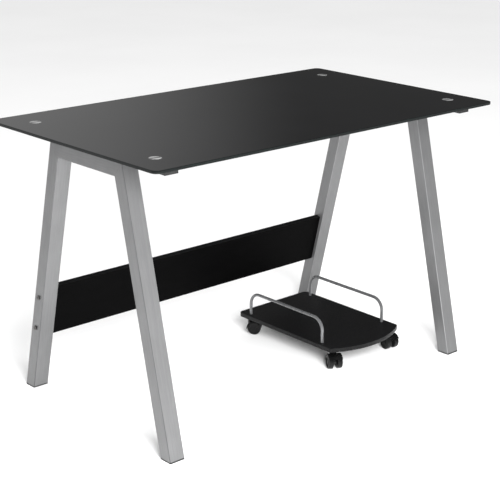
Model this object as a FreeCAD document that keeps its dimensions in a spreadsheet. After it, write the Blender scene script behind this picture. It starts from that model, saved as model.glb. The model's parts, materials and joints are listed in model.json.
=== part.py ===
import FreeCAD, Part
import math
import os
import re
import Sketcher
from FreeCAD import Placement, Rotation, Vector

# A glass-topped desk on two A-frames, with a wheeled floor tray under its right-hand side.
# Millimetres. X runs to the sitter's right, Y away from the sitter and Z up from the floor;
# the origin is on the floor under the middle of the glass.

SIZES = (
    # Glass top and the metal discs bonded under it
    ("desk_width", 1200, "glass top, left to right"),
    ("desk_depth", 700, "glass top, front to back"),
    ("desk_height", 750, "floor to the top of the glass"),
    ("glass_thickness", 8, "toughened glass"),
    ("glass_corner", 18, "corner radius of the glass"),
    ("glass_arris", 1, "bevel ground along the edge of the glass"),
    ("disc_radius", 17.5, "bonded disc"),
    ("disc_thickness", 5, "bonded disc"),
    ("disc_edge", 0.6, "bevel round the disc"),
    ("disc_inset", 57, "cut end of a support bar to a disc"),
    ("disc_hole_depth", 4, "tapped hole in the disc"),
    # Black bars that carry the discs
    ("bar_width", 40, "support bar, across"),
    ("bar_height", 15, "support bar, upright"),
    ("bar_wall", 1.5, "support bar wall"),
    ("bar_corner", 2, "outer corner radius of the bar"),
    ("bar_inset", 43, "front or rear edge of the glass to the cut end of a bar"),
    ("bar_cap_thickness", 3, "plate of the plastic bar end"),
    ("bar_cap_plug", 12, "part of the bar end inside the bar"),
    # A-frames
    ("frame_inset", 54.5, "side of the glass to the outer face of a frame"),
    ("tube_width", 46, "frame tube, along X"),
    ("tube_depth", 39, "frame tube, in the plane of the frame"),
    ("tube_wall", 1.5, "frame tube wall"),
    ("tube_corner", 3, "outer corner radius of the frame tube"),
    ("rail_half_length", 150.5, "middle of the desk to the top corner of a frame"),
    ("foot_inset", 29, "front or rear edge of the glass to the outer edge of a foot"),
    ("foot_cap_thickness", 4, "plate of the plastic foot under a leg"),
    ("foot_cap_plug", 20, "height of the foot's plug inside the leg"),
    ("plug_clearance", 0.2, "gap round a plastic plug in its tube"),
    # Modesty panel between the rear legs
    ("panel_thickness", 18, "black board"),
    ("panel_low", 162.5, "floor to the lower edge of the panel, measured along the leg"),
    ("panel_high", 313.5, "floor to the upper edge of the panel, measured along the leg"),
    ("panel_edge", 1, "eased edge of the board"),
    ("panel_gap", 0.3, "panel end to leg"),
    ("bolt_inset", 28, "panel edge to a panel bolt, measured along the leg"),
    ("barrel_inset", 32, "panel end to the middle of a barrel nut"),
    ("barrel_radius", 5, "barrel nut"),
    ("barrel_length", 14, "barrel nut"),
    ("barrel_floor", 3, "board left behind a barrel nut"),
    # Machine screws
    ("bolt_radius", 3, "frame, disc and panel bolts"),
    ("bolt_head_radius", 6, "bolt head"),
    ("bolt_head_height", 3.5, "bolt head"),
    ("bolt_socket", 2, "half width of the hexagon key socket, to its corners"),
    ("bolt_hole_gap", 0.2, "clearance round a bolt in a wall"),
    ("frame_bolt_inset", 50.5, "top corner of a frame to a rail bolt"),
    ("nut_corner_radius", 5.8, "weld nut, middle to corner"),
    ("nut_height", 5, "weld nut"),
    ("tip_gap", 0.3, "space past the tip of a bolt, screw or pin"),
    # Wheeled tray
    ("tray_leg_gap", 57.5, "right-hand side of the tray to the legs beside it"),
    ("tray_width", 286, "tray board, left to right"),
    ("tray_front", 170, "middle of the desk forward to the tray's front corners"),
    ("tray_rear", 222, "middle of the desk back to the tray's rear edge"),
    ("tray_bow", 42, "how far the front edge bows forward"),
    ("tray_thickness", 12, "tray board"),
    ("tray_front_corner", 20, "front corner radius of the tray"),
    ("tray_rear_corner", 14, "rear corner radius of the tray"),
    ("tray_edge", 1, "eased edge of the tray"),
    ("guard_radius", 4.5, "guard rod"),
    ("guard_inset", 17, "side of the tray to the middle of a guard"),
    ("guard_front", 121, "middle of the desk forward to the guard's front foot"),
    ("guard_rear", 184, "middle of the desk back to the guard's rear foot"),
    ("guard_height", 70, "top of the tray to the middle of the guard's top run"),
    ("guard_bend", 36, "bend radius of the guard, to the middle of the rod"),
    ("guard_socket", 4, "depth that a guard's foot is let into the tray"),
    ("guard_screw_radius", 2, "screw up into a guard's foot"),
    ("guard_screw_length", 24, "guard screw, whole length"),
    # Casters
    ("caster_inset", 28, "side of the tray to a caster's swivel axis"),
    ("caster_front", 155, "middle of the desk forward to the front swivel axes"),
    ("caster_rear", 196, "middle of the desk back to the rear swivel axes"),
    ("caster_trail", 12, "swivel axis to axle"),
    ("plate_radius", 17, "caster mounting plate"),
    ("plate_thickness", 2.5, "caster mounting plate"),
    ("plate_screw_circle", 12.5, "swivel axis to a plate screw"),
    ("screw_radius", 1.75, "plate screw"),
    ("screw_head_radius", 3.4, "plate screw head"),
    ("screw_length", 11, "plate screw, whole length"),
    ("screw_clearance", 0.1, "clearance round a small screw"),
    ("pin_radius", 4, "swivel pin"),
    ("pin_flange_radius", 8, "swivel pin collar"),
    ("pin_flange_thickness", 1, "swivel pin collar"),
    ("pin_length", 14, "swivel pin below its collar"),
    ("swivel_gap", 0.3, "collar to yoke"),
    ("running_gap", 0.05, "radial clearance of a turning fit"),
    ("yoke_boss_radius", 10, "round boss of the yoke, about the pin"),
    ("yoke_web", 11, "thickness of the yoke between the wheels"),
    ("yoke_hub_radius", 9, "yoke round the axle"),
    ("hood_thickness", 2.2, "wall of the hood over the wheels"),
    ("yoke_neck", 6.7, "top of the hood to the top of the yoke"),
    ("hood_clearance", 1.3, "hood to tread"),
    ("hood_edge", 1.5, "rounding of the hood"),
    ("wheel_radius", 20, "caster wheel"),
    ("wheel_width", 14.5, "caster wheel"),
    ("wheel_side_gap", 0.5, "wheel to the yoke"),
    ("wheel_shoulder", 2.5, "rounding of the tread's shoulders"),
    ("wheel_dish_depth", 2.6, "hollow in the wheel's outer face"),
    ("wheel_dish_radius", 14, "hollow in the wheel's outer face"),
    ("axle_radius", 3, "axle"),
    ("axle_head_radius", 4.5, "button on each end of the axle"),
    ("axle_head_thickness", 1.6, "button on each end of the axle"),
    ("axle_head_gap", 0.3, "button to wheel"),
    ("yaw_front_left", -27, "degrees this caster is swivelled, seen from above"),
    ("yaw_front_right", -8, "degrees this caster is swivelled, seen from above"),
    ("yaw_rear_left", 40, "degrees this caster is swivelled, seen from above"),
    ("yaw_rear_right", 10, "degrees this caster is swivelled, seen from above"),
)

# Formulas that several pieces share. Each name in them is a cell of the sheet.
RAIL_TOP = "(desk_height - glass_thickness - disc_thickness - bar_height)"
BAR_HALF_LENGTH = "(desk_depth / 2 - bar_inset)"
DISC_Y = f"({BAR_HALF_LENGTH} - disc_inset)"
FRAME_BOLT_Y = "(rail_half_length - frame_bolt_inset)"
FOOT_HALF_SPAN = "(desk_depth / 2 - foot_inset)"
LEAN = f"(({FOOT_HALF_SPAN} - rail_half_length) / {RAIL_TOP})"
SLANT = f"sqrt(1 + {LEAN} ^ 2)"
LEAN_SIN = f"({LEAN} / {SLANT})"
LEAN_COS = f"(1 / {SLANT})"
LEAN_ANGLE = f"atan({LEAN})"
LEG_ACROSS = f"(tube_depth * {SLANT})"
WALL_ACROSS = f"(tube_wall * {SLANT})"
FRAME_X = "(desk_width / 2 - frame_inset - tube_width / 2)"
PANEL_LENGTH = f"(2 * {FRAME_X} - tube_width - 2 * panel_gap)"
LEG_MIDDLE = f"({FOOT_HALF_SPAN} - {LEG_ACROSS} / 2)"
PANEL_BOLTS = ("(panel_low + bolt_inset)", "(panel_high - bolt_inset)")
BARREL_BASE = "(panel_thickness / 2 - barrel_floor)"
BAR_BOTTOM = RAIL_TOP
DISC_BOTTOM = f"({RAIL_TOP} + bar_height)"
TRAY_X = f"({FRAME_X} - tube_width / 2 - tray_leg_gap - tray_width / 2)"
HOOD_RADIUS = "(wheel_radius + hood_clearance + hood_thickness)"
YOKE_TOP = f"(wheel_radius + {HOOD_RADIUS} + yoke_neck)"
COLLAR_LOW = f"({YOKE_TOP} + swivel_gap)"
PLATE_LOW = f"({COLLAR_LOW} + pin_flange_thickness)"
TRAY_LOW = f"({PLATE_LOW} + plate_thickness)"
TRAY_TOP = f"({TRAY_LOW} + tray_thickness)"
PIN_TIP = f"({COLLAR_LOW} - pin_length)"
WHEEL_INNER = "(yoke_web / 2 + wheel_side_gap)"
WHEEL_OUTER = f"({WHEEL_INNER} + wheel_width)"

SIDES = {"left": -1, "right": 1}
ENDS = {"front": -1, "rear": 1}

doc = FreeCAD.newDocument("GlassDesk")
sheet = doc.addObject("Spreadsheet::Sheet", "Sizes")
size = {}
for row, (alias, value, meaning) in enumerate(SIZES, start=1):
    sheet.set(f"A{row}", alias)
    sheet.set(f"B{row}", str(value))
    sheet.setAlias(f"B{row}", alias)
    sheet.set(f"C{row}", meaning)
    size[alias] = value
doc.recompute()

CELL_NAME = re.compile(r"\b(" + "|".join(size) + r")\b")
nodes = []


# ---------------------------------------------------------------- shared helpers

def bind(item, prop, formula):
    """Drive a property of an object from the sheet."""
    item.setExpression(prop, CELL_NAME.sub(r"Sizes.\1", str(formula)))


def place(item, x="0", y="0", z="0", axis=Vector(0, 0, 1), angle="0"):
    """Put a piece where the formulas say, turned about one axis."""
    item.Placement = Placement(Vector(0, 0, 0), Rotation(axis, 1))
    bind(item, "Placement.Base.x", x)
    bind(item, "Placement.Base.y", y)
    bind(item, "Placement.Base.z", z)
    bind(item, "Placement.Rotation.Angle", f"({angle}) * 1 deg")


def new_body(name):
    body = doc.addObject("PartDesign::Body", name)
    body.Label = name
    nodes.append(body)
    return body


def new_sketch(body, role, offset="0"):
    """A sketch on one of the body's own planes, shifted along the plane's normal."""
    plane = next(item for item in body.Origin.OriginFeatures if item.Role == role)
    sketch = body.newObject("Sketcher::SketchObject", f"{body.Label}_sketch")
    sketch.AttachmentSupport = (plane, [""])
    sketch.MapMode = "FlatFace"
    if offset != "0":
        bind(sketch, "AttachmentOffset.Base.z", offset)
    return sketch


def pin_point(sketch, geometry, point, x, y):
    """Tie one point of a sketch to two formulas."""
    drawn = sketch.getPoint(geometry, point)
    for kind, value, formula in (("DistanceX", drawn.x, x), ("DistanceY", drawn.y, y)):
        index = sketch.addConstraint(Sketcher.Constraint(kind, -1, 1, geometry, point, value))
        label = f"{kind}_{geometry}_{point}"
        sketch.renameConstraint(index, label)
        bind(sketch, f"Constraints.{label}", formula)


def set_radius(sketch, geometry, formula):
    drawn = sketch.Geometry[geometry].Radius
    index = sketch.addConstraint(Sketcher.Constraint("Radius", geometry, drawn))
    sketch.renameConstraint(index, f"Radius_{geometry}")
    bind(sketch, f"Constraints.Radius_{geometry}", formula)


def add_polygon(sketch, corners):
    """A closed outline through corners given as pairs of formulas."""
    first = sketch.GeometryCount
    count = len(corners)
    ring = [Vector(math.cos(math.tau * i / count), math.sin(math.tau * i / count), 0) for i in range(count)]
    for i in range(count):
        sketch.addGeometry(Part.LineSegment(ring[i], ring[(i + 1) % count]), False)
    for i in range(count):
        following = first + (i + 1) % count
        sketch.addConstraint(Sketcher.Constraint("Coincident", first + i, 2, following, 1))
    for i, (x, y) in enumerate(corners):
        pin_point(sketch, first + i, 1, x, y)


def add_rectangle(sketch, half_x, half_y):
    add_polygon(sketch, [(f"-({half_x})", f"-({half_y})"), (half_x, f"-({half_y})"),
                         (half_x, half_y), (f"-({half_x})", half_y)])


def add_circles(sketch, centres, radius):
    for x, y in centres:
        index = sketch.addGeometry(Part.Circle(Vector(0, 0, 0), Vector(0, 0, 1), 1), False)
        pin_point(sketch, index, 3, x, y)
        set_radius(sketch, index, radius)


def pad(body, sketch, length, symmetric=False, reverse=False):
    feature = body.newObject("PartDesign::Pad", f"{body.Label}_pad")
    feature.Profile = sketch
    bind(feature, "Length", length)
    feature.SideType = "Symmetric" if symmetric else "One side"
    feature.Reversed = reverse
    return feature


def pocket(body, sketch, length=None, symmetric=False, reverse=False):
    """Cut a sketch out of a body; with no length it goes right through."""
    doc.recompute()
    before = body.Shape.Volume
    feature = body.newObject("PartDesign::Pocket", f"{body.Label}_pocket")
    feature.Profile = sketch
    feature.SideType = "Symmetric" if symmetric else "One side"
    feature.Reversed = reverse
    if length is None:
        feature.Type = "ThroughAll"
    else:
        bind(feature, "Length", length)
    doc.recompute()
    if feature.Shape.Volume >= before:
        raise RuntimeError(f"a pocket of {body.Label} cuts nothing")
    return feature


def revolve(body, sketch, axis_name):
    feature = body.newObject("PartDesign::Revolution", f"{body.Label}_turned")
    feature.Profile = sketch
    feature.ReferenceAxis = (sketch, [axis_name])
    feature.Angle = 360
    return feature


def dress(body, kind, formula, wanted):
    """Fillet or chamfer the edges of the body for which wanted(edge) holds."""
    doc.recompute()
    base = body.Tip
    names = [f"Edge{i}" for i, edge in enumerate(base.Shape.Edges, start=1) if wanted(edge)]
    if not names:
        raise RuntimeError(f"no edges to dress on {body.Label}")
    feature = body.newObject(f"PartDesign::{kind}", f"{body.Label}_{kind.lower()}")
    feature.Base = (base, names)
    bind(feature, "Radius" if kind == "Fillet" else "Size", formula)
    doc.recompute()
    return feature


def runs_along(direction):
    """Test for straight edges parallel to a direction."""
    unit = Vector(direction).normalize()

    def test(edge):
        if not isinstance(edge.Curve, Part.Line):
            return False
        return abs(abs(edge.tangentAt(edge.FirstParameter).dot(unit)) - 1) < 1e-6
    return test


def lies_at(z):
    """Test for edges that lie wholly at one of the given heights."""
    def test(edge):
        box = edge.BoundBox
        return any(abs(box.ZMin - level) < 1e-6 and abs(box.ZMax - level) < 1e-6 for level in z)
    return test


def round_edge(radius, z=None):
    """Test for full circular edges of one radius, and at one height if it is given."""
    def test(edge):
        if not isinstance(edge.Curve, Part.Circle) or abs(edge.Curve.Radius - radius) > 1e-6:
            return False
        return z is None or abs(edge.Curve.Center.z - z) < 1e-6
    return test


def signed(sign, formula):
    return formula if sign > 0 else f"-({formula})"


# ---------------------------------------------------------------- screws and nuts

def key_socket(name, formula, depth):
    prism = doc.addObject("Part::Prism", f"{name}_socket")
    prism.Polygon = 6
    bind(prism, "Circumradius", formula)
    bind(prism, "Height", depth)
    return prism


def pan_bolt(name, length):
    """A machine bolt: its head lies below its origin and its shank rises from it."""
    head = doc.addObject("Part::Cylinder", f"{name}_head")
    bind(head, "Radius", "bolt_head_radius")
    bind(head, "Height", "bolt_head_height")
    place(head, z="-bolt_head_height")
    shank = doc.addObject("Part::Cylinder", f"{name}_shank")
    bind(shank, "Radius", "bolt_radius")
    bind(shank, "Height", length)
    blank = doc.addObject("Part::MultiFuse", f"{name}_blank")
    blank.Shapes = [head, shank]
    socket = key_socket(name, "bolt_socket", "bolt_head_height / 2")
    place(socket, z="-bolt_head_height")
    bolt = doc.addObject("Part::Cut", name)
    bolt.Base = blank
    bolt.Tool = socket
    return bolt


def countersunk_screw(name, radius, head_radius, length):
    """A countersunk screw whose head is flush with its origin and whose shank rises from it."""
    head = doc.addObject("Part::Cone", f"{name}_head")
    bind(head, "Radius1", head_radius)
    bind(head, "Radius2", radius)
    bind(head, "Height", f"{head_radius} - {radius}")
    shank = doc.addObject("Part::Cylinder", f"{name}_shank")
    bind(shank, "Radius", radius)
    bind(shank, "Height", f"{length} - ({head_radius} - {radius})")
    place(shank, z=f"{head_radius} - {radius}")
    blank = doc.addObject("Part::MultiFuse", f"{name}_blank")
    blank.Shapes = [head, shank]
    socket = key_socket(name, f"{radius} * 0.7", f"({head_radius} - {radius}) * 0.8")
    screw = doc.addObject("Part::Cut", name)
    screw.Base = blank
    screw.Tool = socket
    return screw


def group(name, items):
    """Identical fasteners as separate solids of one sub-part."""
    compound = doc.addObject("Part::Compound", name)
    compound.Links = items
    compound.Label = name
    nodes.append(compound)


# ---------------------------------------------------------------- glass top

def build_glass_top():
    body = new_body("glass_top")
    sketch = new_sketch(body, "XY_Plane")
    add_rectangle(sketch, "desk_width / 2", "desk_depth / 2")
    pad(body, sketch, "glass_thickness")
    dress(body, "Fillet", "glass_corner", runs_along((0, 0, 1)))
    dress(body, "Chamfer", "glass_arris", lies_at((0, size["glass_thickness"])))
    place(body, z="desk_height - glass_thickness")


def build_disc(name, x, y):
    """Metal disc bonded to the glass, tapped from below."""
    body = new_body(name)
    sketch = new_sketch(body, "XY_Plane")
    add_circles(sketch, [("0", "0")], "disc_radius")
    pad(body, sketch, "disc_thickness")
    dress(body, "Chamfer", "disc_edge", round_edge(size["disc_radius"], 0))
    hole = new_sketch(body, "XY_Plane")
    add_circles(hole, [("0", "0")], "bolt_radius + running_gap")
    pocket(body, hole, "disc_hole_depth", reverse=True)
    place(body, x, y, DISC_BOTTOM)


# ---------------------------------------------------------------- support bars

def build_support_bar(name, x):
    body = new_body(name)
    outline = new_sketch(body, "XZ_Plane")
    add_rectangle(outline, "bar_width / 2", "bar_height / 2")
    pad(body, outline, f"2 * {BAR_HALF_LENGTH}", symmetric=True)
    dress(body, "Fillet", "bar_corner", runs_along((0, 1, 0)))
    hollow = new_sketch(body, "XZ_Plane")
    add_rectangle(hollow, "bar_width / 2 - bar_wall", "bar_height / 2 - bar_wall")
    pocket(body, hollow, symmetric=True)
    disc_holes = new_sketch(body, "XY_Plane")
    add_circles(disc_holes, [("0", DISC_Y), ("0", f"-{DISC_Y}")],
                "bolt_radius + bolt_hole_gap")
    pocket(body, disc_holes, symmetric=True)
    frame_holes = new_sketch(body, "XY_Plane")
    add_circles(frame_holes, [("0", FRAME_BOLT_Y), ("0", f"-{FRAME_BOLT_Y}")],
                "bolt_radius + bolt_hole_gap")
    pocket(body, frame_holes, "bar_height / 2")
    place(body, x, "0", f"{BAR_BOTTOM} + bar_height / 2")


def build_bar_cap(name, x, end):
    """Plastic end of a support bar: a plate over the cut end and a plug inside it."""
    body = new_body(name)
    plate = new_sketch(body, "XZ_Plane")
    add_rectangle(plate, "bar_width / 2", "bar_height / 2")
    pad(body, plate, "bar_cap_thickness", reverse=True)
    dress(body, "Fillet", "bar_corner", runs_along((0, 1, 0)))
    plug = new_sketch(body, "XZ_Plane")
    add_rectangle(plug, "bar_width / 2 - bar_wall - plug_clearance",
                  "bar_height / 2 - bar_wall - plug_clearance")
    pad(body, plug, "bar_cap_plug")
    place(body, x, signed(end, BAR_HALF_LENGTH), f"{BAR_BOTTOM} + bar_height / 2",
          angle="0" if end > 0 else "180")


# ---------------------------------------------------------------- A-frames

def leg_edge_y(end, z, inset="0"):
    """Y of the leg's outer edge at a height, moved in towards the middle of the desk."""
    return signed(end, f"{FOOT_HALF_SPAN} - {LEAN} * ({z}) - ({inset})")


def leg_direction(end):
    foot = size["desk_depth"] / 2 - size["foot_inset"]
    top = size["desk_height"] - size["glass_thickness"] - size["disc_thickness"] - size["bar_height"]
    return Vector(0, -end * (foot - size["rail_half_length"]) / top, 1)


def build_leg(name, x, end):
    """Leaning square tube, mitred against the rail and closed by the foot below."""
    body = new_body(name)
    mitre_z = f"({RAIL_TOP} - tube_depth)"
    outline = new_sketch(body, "YZ_Plane")
    add_polygon(outline, [
        (leg_edge_y(end, "foot_cap_thickness"), "foot_cap_thickness"),
        (signed(end, "rail_half_length"), RAIL_TOP),
        (leg_edge_y(end, mitre_z, LEG_ACROSS), mitre_z),
        (leg_edge_y(end, "foot_cap_thickness", LEG_ACROSS), "foot_cap_thickness")])
    pad(body, outline, "tube_width", symmetric=True)
    dress(body, "Fillet", "tube_corner", runs_along(leg_direction(end)))
    hollow = new_sketch(body, "YZ_Plane")
    far = f"({LEG_ACROSS} - {WALL_ACROSS})"
    add_polygon(hollow, [
        (leg_edge_y(end, "0", WALL_ACROSS), "0"),
        (leg_edge_y(end, RAIL_TOP, WALL_ACROSS), RAIL_TOP),
        (leg_edge_y(end, RAIL_TOP, far), RAIL_TOP),
        (leg_edge_y(end, "0", far), "0")])
    pocket(body, hollow, "tube_width - 2 * tube_wall", symmetric=True)
    if end > 0:
        holes = new_sketch(body, "YZ_Plane")
        centres = [(f"{LEG_MIDDLE} - {s} * {LEAN_SIN}", f"{s} * {LEAN_COS}") for s in PANEL_BOLTS]
        add_circles(holes, centres, "bolt_radius + bolt_hole_gap")
        pocket(body, holes, symmetric=True)
    place(body, x)


def build_top_rail(name, x):
    """Level tube across the top of a frame, mitred at both ends."""
    body = new_body(name)
    under = f"(rail_half_length + {LEAN} * tube_depth - {LEG_ACROSS})"
    outline = new_sketch(body, "YZ_Plane")
    add_polygon(outline, [
        ("-rail_half_length", "0"), ("rail_half_length", "0"),
        (under, "-tube_depth"), (f"-{under}", "-tube_depth")])
    pad(body, outline, "tube_width", symmetric=True)
    dress(body, "Fillet", "tube_corner", runs_along((0, 1, 0)))
    hollow = new_sketch(body, "YZ_Plane")
    add_polygon(hollow, [
        ("-rail_half_length", "-tube_wall"), ("rail_half_length", "-tube_wall"),
        ("rail_half_length", "tube_wall - tube_depth"), ("-rail_half_length", "tube_wall - tube_depth")])
    pocket(body, hollow, "tube_width - 2 * tube_wall", symmetric=True)
    holes = new_sketch(body, "XY_Plane")
    add_circles(holes, [("0", FRAME_BOLT_Y), ("0", f"-{FRAME_BOLT_Y}")],
                "bolt_radius + bolt_hole_gap")
    pocket(body, holes, symmetric=True)
    place(body, x, "0", RAIL_TOP)


def build_foot_cap(name, x, end):
    """Plastic foot: a plate that continues the leg to the floor and a plug inside the leg."""
    body = new_body(name)
    plate = new_sketch(body, "YZ_Plane")
    add_polygon(plate, [
        (leg_edge_y(end, "0"), "0"),
        (leg_edge_y(end, "foot_cap_thickness"), "foot_cap_thickness"),
        (leg_edge_y(end, "foot_cap_thickness", LEG_ACROSS), "foot_cap_thickness"),
        (leg_edge_y(end, "0", LEG_ACROSS), "0")])
    pad(body, plate, "tube_width", symmetric=True)
    dress(body, "Fillet", "tube_corner", runs_along(leg_direction(end)))
    plug = new_sketch(body, "YZ_Plane")
    near = f"({WALL_ACROSS} + plug_clearance)"
    far = f"({LEG_ACROSS} - {near})"
    top = "(foot_cap_thickness + foot_cap_plug)"
    add_polygon(plug, [
        (leg_edge_y(end, "foot_cap_thickness / 2", near), "foot_cap_thickness / 2"),
        (leg_edge_y(end, top, near), top),
        (leg_edge_y(end, top, far), top),
        (leg_edge_y(end, "foot_cap_thickness / 2", far), "foot_cap_thickness / 2")])
    pad(body, plug, "tube_width - 2 * (tube_wall + plug_clearance)", symmetric=True)
    place(body, x)


def build_frame_fasteners():
    disc_bolts = []
    frame_bolts = []
    weld_nuts = []
    for side in SIDES.values():
        for end in ENDS.values():
            number = len(disc_bolts) + 1
            x = signed(side, FRAME_X)
            bolt = pan_bolt(f"disc_bolt_{number}", "bar_height + disc_hole_depth - tip_gap")
            place(bolt, x, signed(end, DISC_Y), BAR_BOTTOM)
            disc_bolts.append(bolt)
            y = signed(end, FRAME_BOLT_Y)
            bolt = pan_bolt(f"frame_bolt_{number}", "tube_depth + bar_wall + nut_height")
            place(bolt, x, y, f"{RAIL_TOP} - tube_depth")
            frame_bolts.append(bolt)
            weld_nuts.append(build_weld_nut(f"weld_nut_{number}", x, y))
    group("disc_bolts", disc_bolts)
    group("frame_bolts", frame_bolts)
    group("weld_nuts", weld_nuts)


def build_weld_nut(name, x, y):
    """Hexagon nut welded to the floor of the support bar, from inside."""
    hexagon = doc.addObject("Part::Prism", f"{name}_blank")
    hexagon.Polygon = 6
    bind(hexagon, "Circumradius", "nut_corner_radius")
    bind(hexagon, "Height", "nut_height")
    thread = doc.addObject("Part::Cylinder", f"{name}_thread")
    bind(thread, "Radius", "bolt_radius + running_gap")
    bind(thread, "Height", "nut_height")
    nut = doc.addObject("Part::Cut", name)
    nut.Base = hexagon
    nut.Tool = thread
    place(nut, x, y, f"{BAR_BOTTOM} + bar_wall")
    return nut


# ---------------------------------------------------------------- modesty panel

def build_modesty_panel():
    """Board in the plane of the rear legs; its own Z runs up along the legs."""
    body = new_body("modesty_panel")
    board = new_sketch(body, "YZ_Plane")
    half = "panel_thickness / 2"
    add_polygon(board, [
        (f"-{half}", "panel_low"), (half, "panel_low"), (half, "panel_high"), (f"-{half}", "panel_high")])
    pad(body, board, PANEL_LENGTH, symmetric=True)
    dress(body, "Fillet", "panel_edge", runs_along((1, 0, 0)))
    end_x = f"{PANEL_LENGTH} / 2"
    for side in SIDES.values():
        bores = new_sketch(body, "YZ_Plane", signed(side, end_x))
        add_circles(bores, [("0", s) for s in PANEL_BOLTS], "bolt_radius + bolt_hole_gap")
        pocket(body, bores, "barrel_inset + barrel_radius + bolt_radius + tip_gap", reverse=side < 0)
        seats = new_sketch(body, "XZ_Plane", "-panel_thickness / 2")
        seat_x = signed(side, f"{end_x} - barrel_inset")
        add_circles(seats, [(seat_x, s) for s in PANEL_BOLTS], "barrel_radius + running_gap")
        pocket(body, seats, "panel_thickness - barrel_floor", reverse=True)
    place(body, "0", LEG_MIDDLE, "0", Vector(1, 0, 0), LEAN_ANGLE + " / 1 deg")


def build_barrel_nut(name, side, along):
    """Cross dowel in the panel, tapped through for a panel bolt."""
    barrel = doc.addObject("Part::Cylinder", f"{name}_barrel")
    bind(barrel, "Radius", "barrel_radius")
    bind(barrel, "Height", "barrel_length")
    thread = doc.addObject("Part::Cylinder", f"{name}_thread")
    bind(thread, "Radius", "bolt_radius + running_gap")
    bind(thread, "Height", "barrel_radius * 4")
    place(thread, "-barrel_radius * 2", "0", BARREL_BASE, Vector(0, 1, 0), "90")
    nut = doc.addObject("Part::Cut", name)
    nut.Base = barrel
    nut.Tool = thread
    place(nut, signed(side, f"{PANEL_LENGTH} / 2 - barrel_inset"),
          f"{LEG_MIDDLE} - {along} * {LEAN_SIN} - {BARREL_BASE} * {LEAN_COS}",
          f"{along} * {LEAN_COS} - {BARREL_BASE} * {LEAN_SIN}",
          Vector(1, 0, 0), f"{LEAN_ANGLE} / 1 deg - 90")
    return nut


def build_panel_fasteners():
    bolts = []
    nuts = []
    length = "tube_width + panel_gap + barrel_inset + barrel_radius + bolt_radius"
    for side in SIDES.values():
        for along in PANEL_BOLTS:
            number = len(bolts) + 1
            bolt = pan_bolt(f"panel_bolt_{number}", length)
            place(bolt, signed(side, f"{FRAME_X} + tube_width / 2"),
                  f"{LEG_MIDDLE} - {along} * {LEAN_SIN}", f"{along} * {LEAN_COS}",
                  Vector(0, 1, 0), "-90" if side > 0 else "90")
            bolts.append(bolt)
            nuts.append(build_barrel_nut(f"barrel_nut_{number}", side, along))
    group("panel_bolts", bolts)
    group("barrel_nuts", nuts)


# ---------------------------------------------------------------- wheeled tray

def caster_positions():
    """Name, side, end and yaw formula of each caster."""
    for end_name, end in ENDS.items():
        for side_name, side in SIDES.items():
            yield f"{end_name}_{side_name}", side, end, f"yaw_{end_name}_{side_name}"


def swivel_x(side, middle=TRAY_X):
    return f"{middle} + ({signed(side, '(tray_width / 2 - caster_inset)')})"


def swivel_y(end):
    return "caster_rear" if end > 0 else "-caster_front"


def plate_screw_points(x="0", y="0"):
    """The four screws round a swivel axis: ahead of it, behind it and on each side."""
    yield f"{x} + plate_screw_circle", y
    yield f"{x} - plate_screw_circle", y
    yield x, f"{y} + plate_screw_circle"
    yield x, f"{y} - plate_screw_circle"


def guard_foot_points(middle):
    for side in SIDES.values():
        x = f"{middle} + ({signed(side, '(tray_width / 2 - guard_inset)')})"
        yield x, "-guard_front"
        yield x, "guard_rear"


def build_tray_board():
    body = new_body("tray_board")
    half = size["tray_width"] / 2
    front = -size["tray_front"]
    bow = size["tray_bow"]
    radius = (half ** 2 + bow ** 2) / (2 * bow)
    centre = Vector(0, front - bow + radius, 0)
    spread = math.asin(half / radius)
    sketch = new_sketch(body, "XY_Plane")
    corners = [Vector(-half, front, 0), Vector(-half, size["tray_rear"], 0),
               Vector(half, size["tray_rear"], 0), Vector(half, front, 0)]
    for i in range(3):
        sketch.addGeometry(Part.LineSegment(corners[i], corners[i + 1]), False)
    circle = Part.Circle(centre, Vector(0, 0, 1), radius)
    sketch.addGeometry(Part.ArcOfCircle(circle, -math.pi / 2 - spread, -math.pi / 2 + spread), False)
    sketch.addConstraint(Sketcher.Constraint("Coincident", 0, 2, 1, 1))
    sketch.addConstraint(Sketcher.Constraint("Coincident", 1, 2, 2, 1))
    sketch.addConstraint(Sketcher.Constraint("Coincident", 3, 1, 0, 1))
    sketch.addConstraint(Sketcher.Constraint("Coincident", 3, 2, 2, 2))
    pin_point(sketch, 0, 1, "-tray_width / 2", "-tray_front")
    pin_point(sketch, 1, 1, "-tray_width / 2", "tray_rear")
    pin_point(sketch, 2, 1, "tray_width / 2", "tray_rear")
    pin_point(sketch, 2, 2, "tray_width / 2", "-tray_front")
    set_radius(sketch, 3, "((tray_width / 2) ^ 2 + tray_bow ^ 2) / (2 * tray_bow)")
    pad(body, sketch, "tray_thickness")

    upright = runs_along((0, 0, 1))
    dress(body, "Fillet", "tray_front_corner", lambda edge: upright(edge) and edge.CenterOfMass.y < 0)
    at_rear = size["tray_rear"] - 1e-6
    dress(body, "Fillet", "tray_rear_corner", lambda edge: upright(edge) and edge.CenterOfMass.y > at_rear)
    dress(body, "Fillet", "tray_edge", lies_at((0, size["tray_thickness"])))

    guard_holes = new_sketch(body, "XY_Plane")
    guard_hole = size["guard_screw_radius"] + size["screw_clearance"]
    add_circles(guard_holes, guard_foot_points("0"), "guard_screw_radius + screw_clearance")
    pocket(body, guard_holes, "tray_thickness", reverse=True)
    dress(body, "Chamfer", "guard_screw_radius", round_edge(guard_hole, 0))
    sockets = new_sketch(body, "XY_Plane", "tray_thickness - guard_socket")
    add_circles(sockets, guard_foot_points("0"), "guard_radius + running_gap")
    pocket(body, sockets, "guard_socket", reverse=True)
    pilots = new_sketch(body, "XY_Plane")
    for _, side, end, _ in caster_positions():
        points = plate_screw_points(swivel_x(side, "0"), swivel_y(end))
        add_circles(pilots, points, "screw_radius + running_gap")
    pocket(body, pilots, "screw_length - plate_thickness + tip_gap", reverse=True)
    place(body, TRAY_X, "0", TRAY_LOW)


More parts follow.
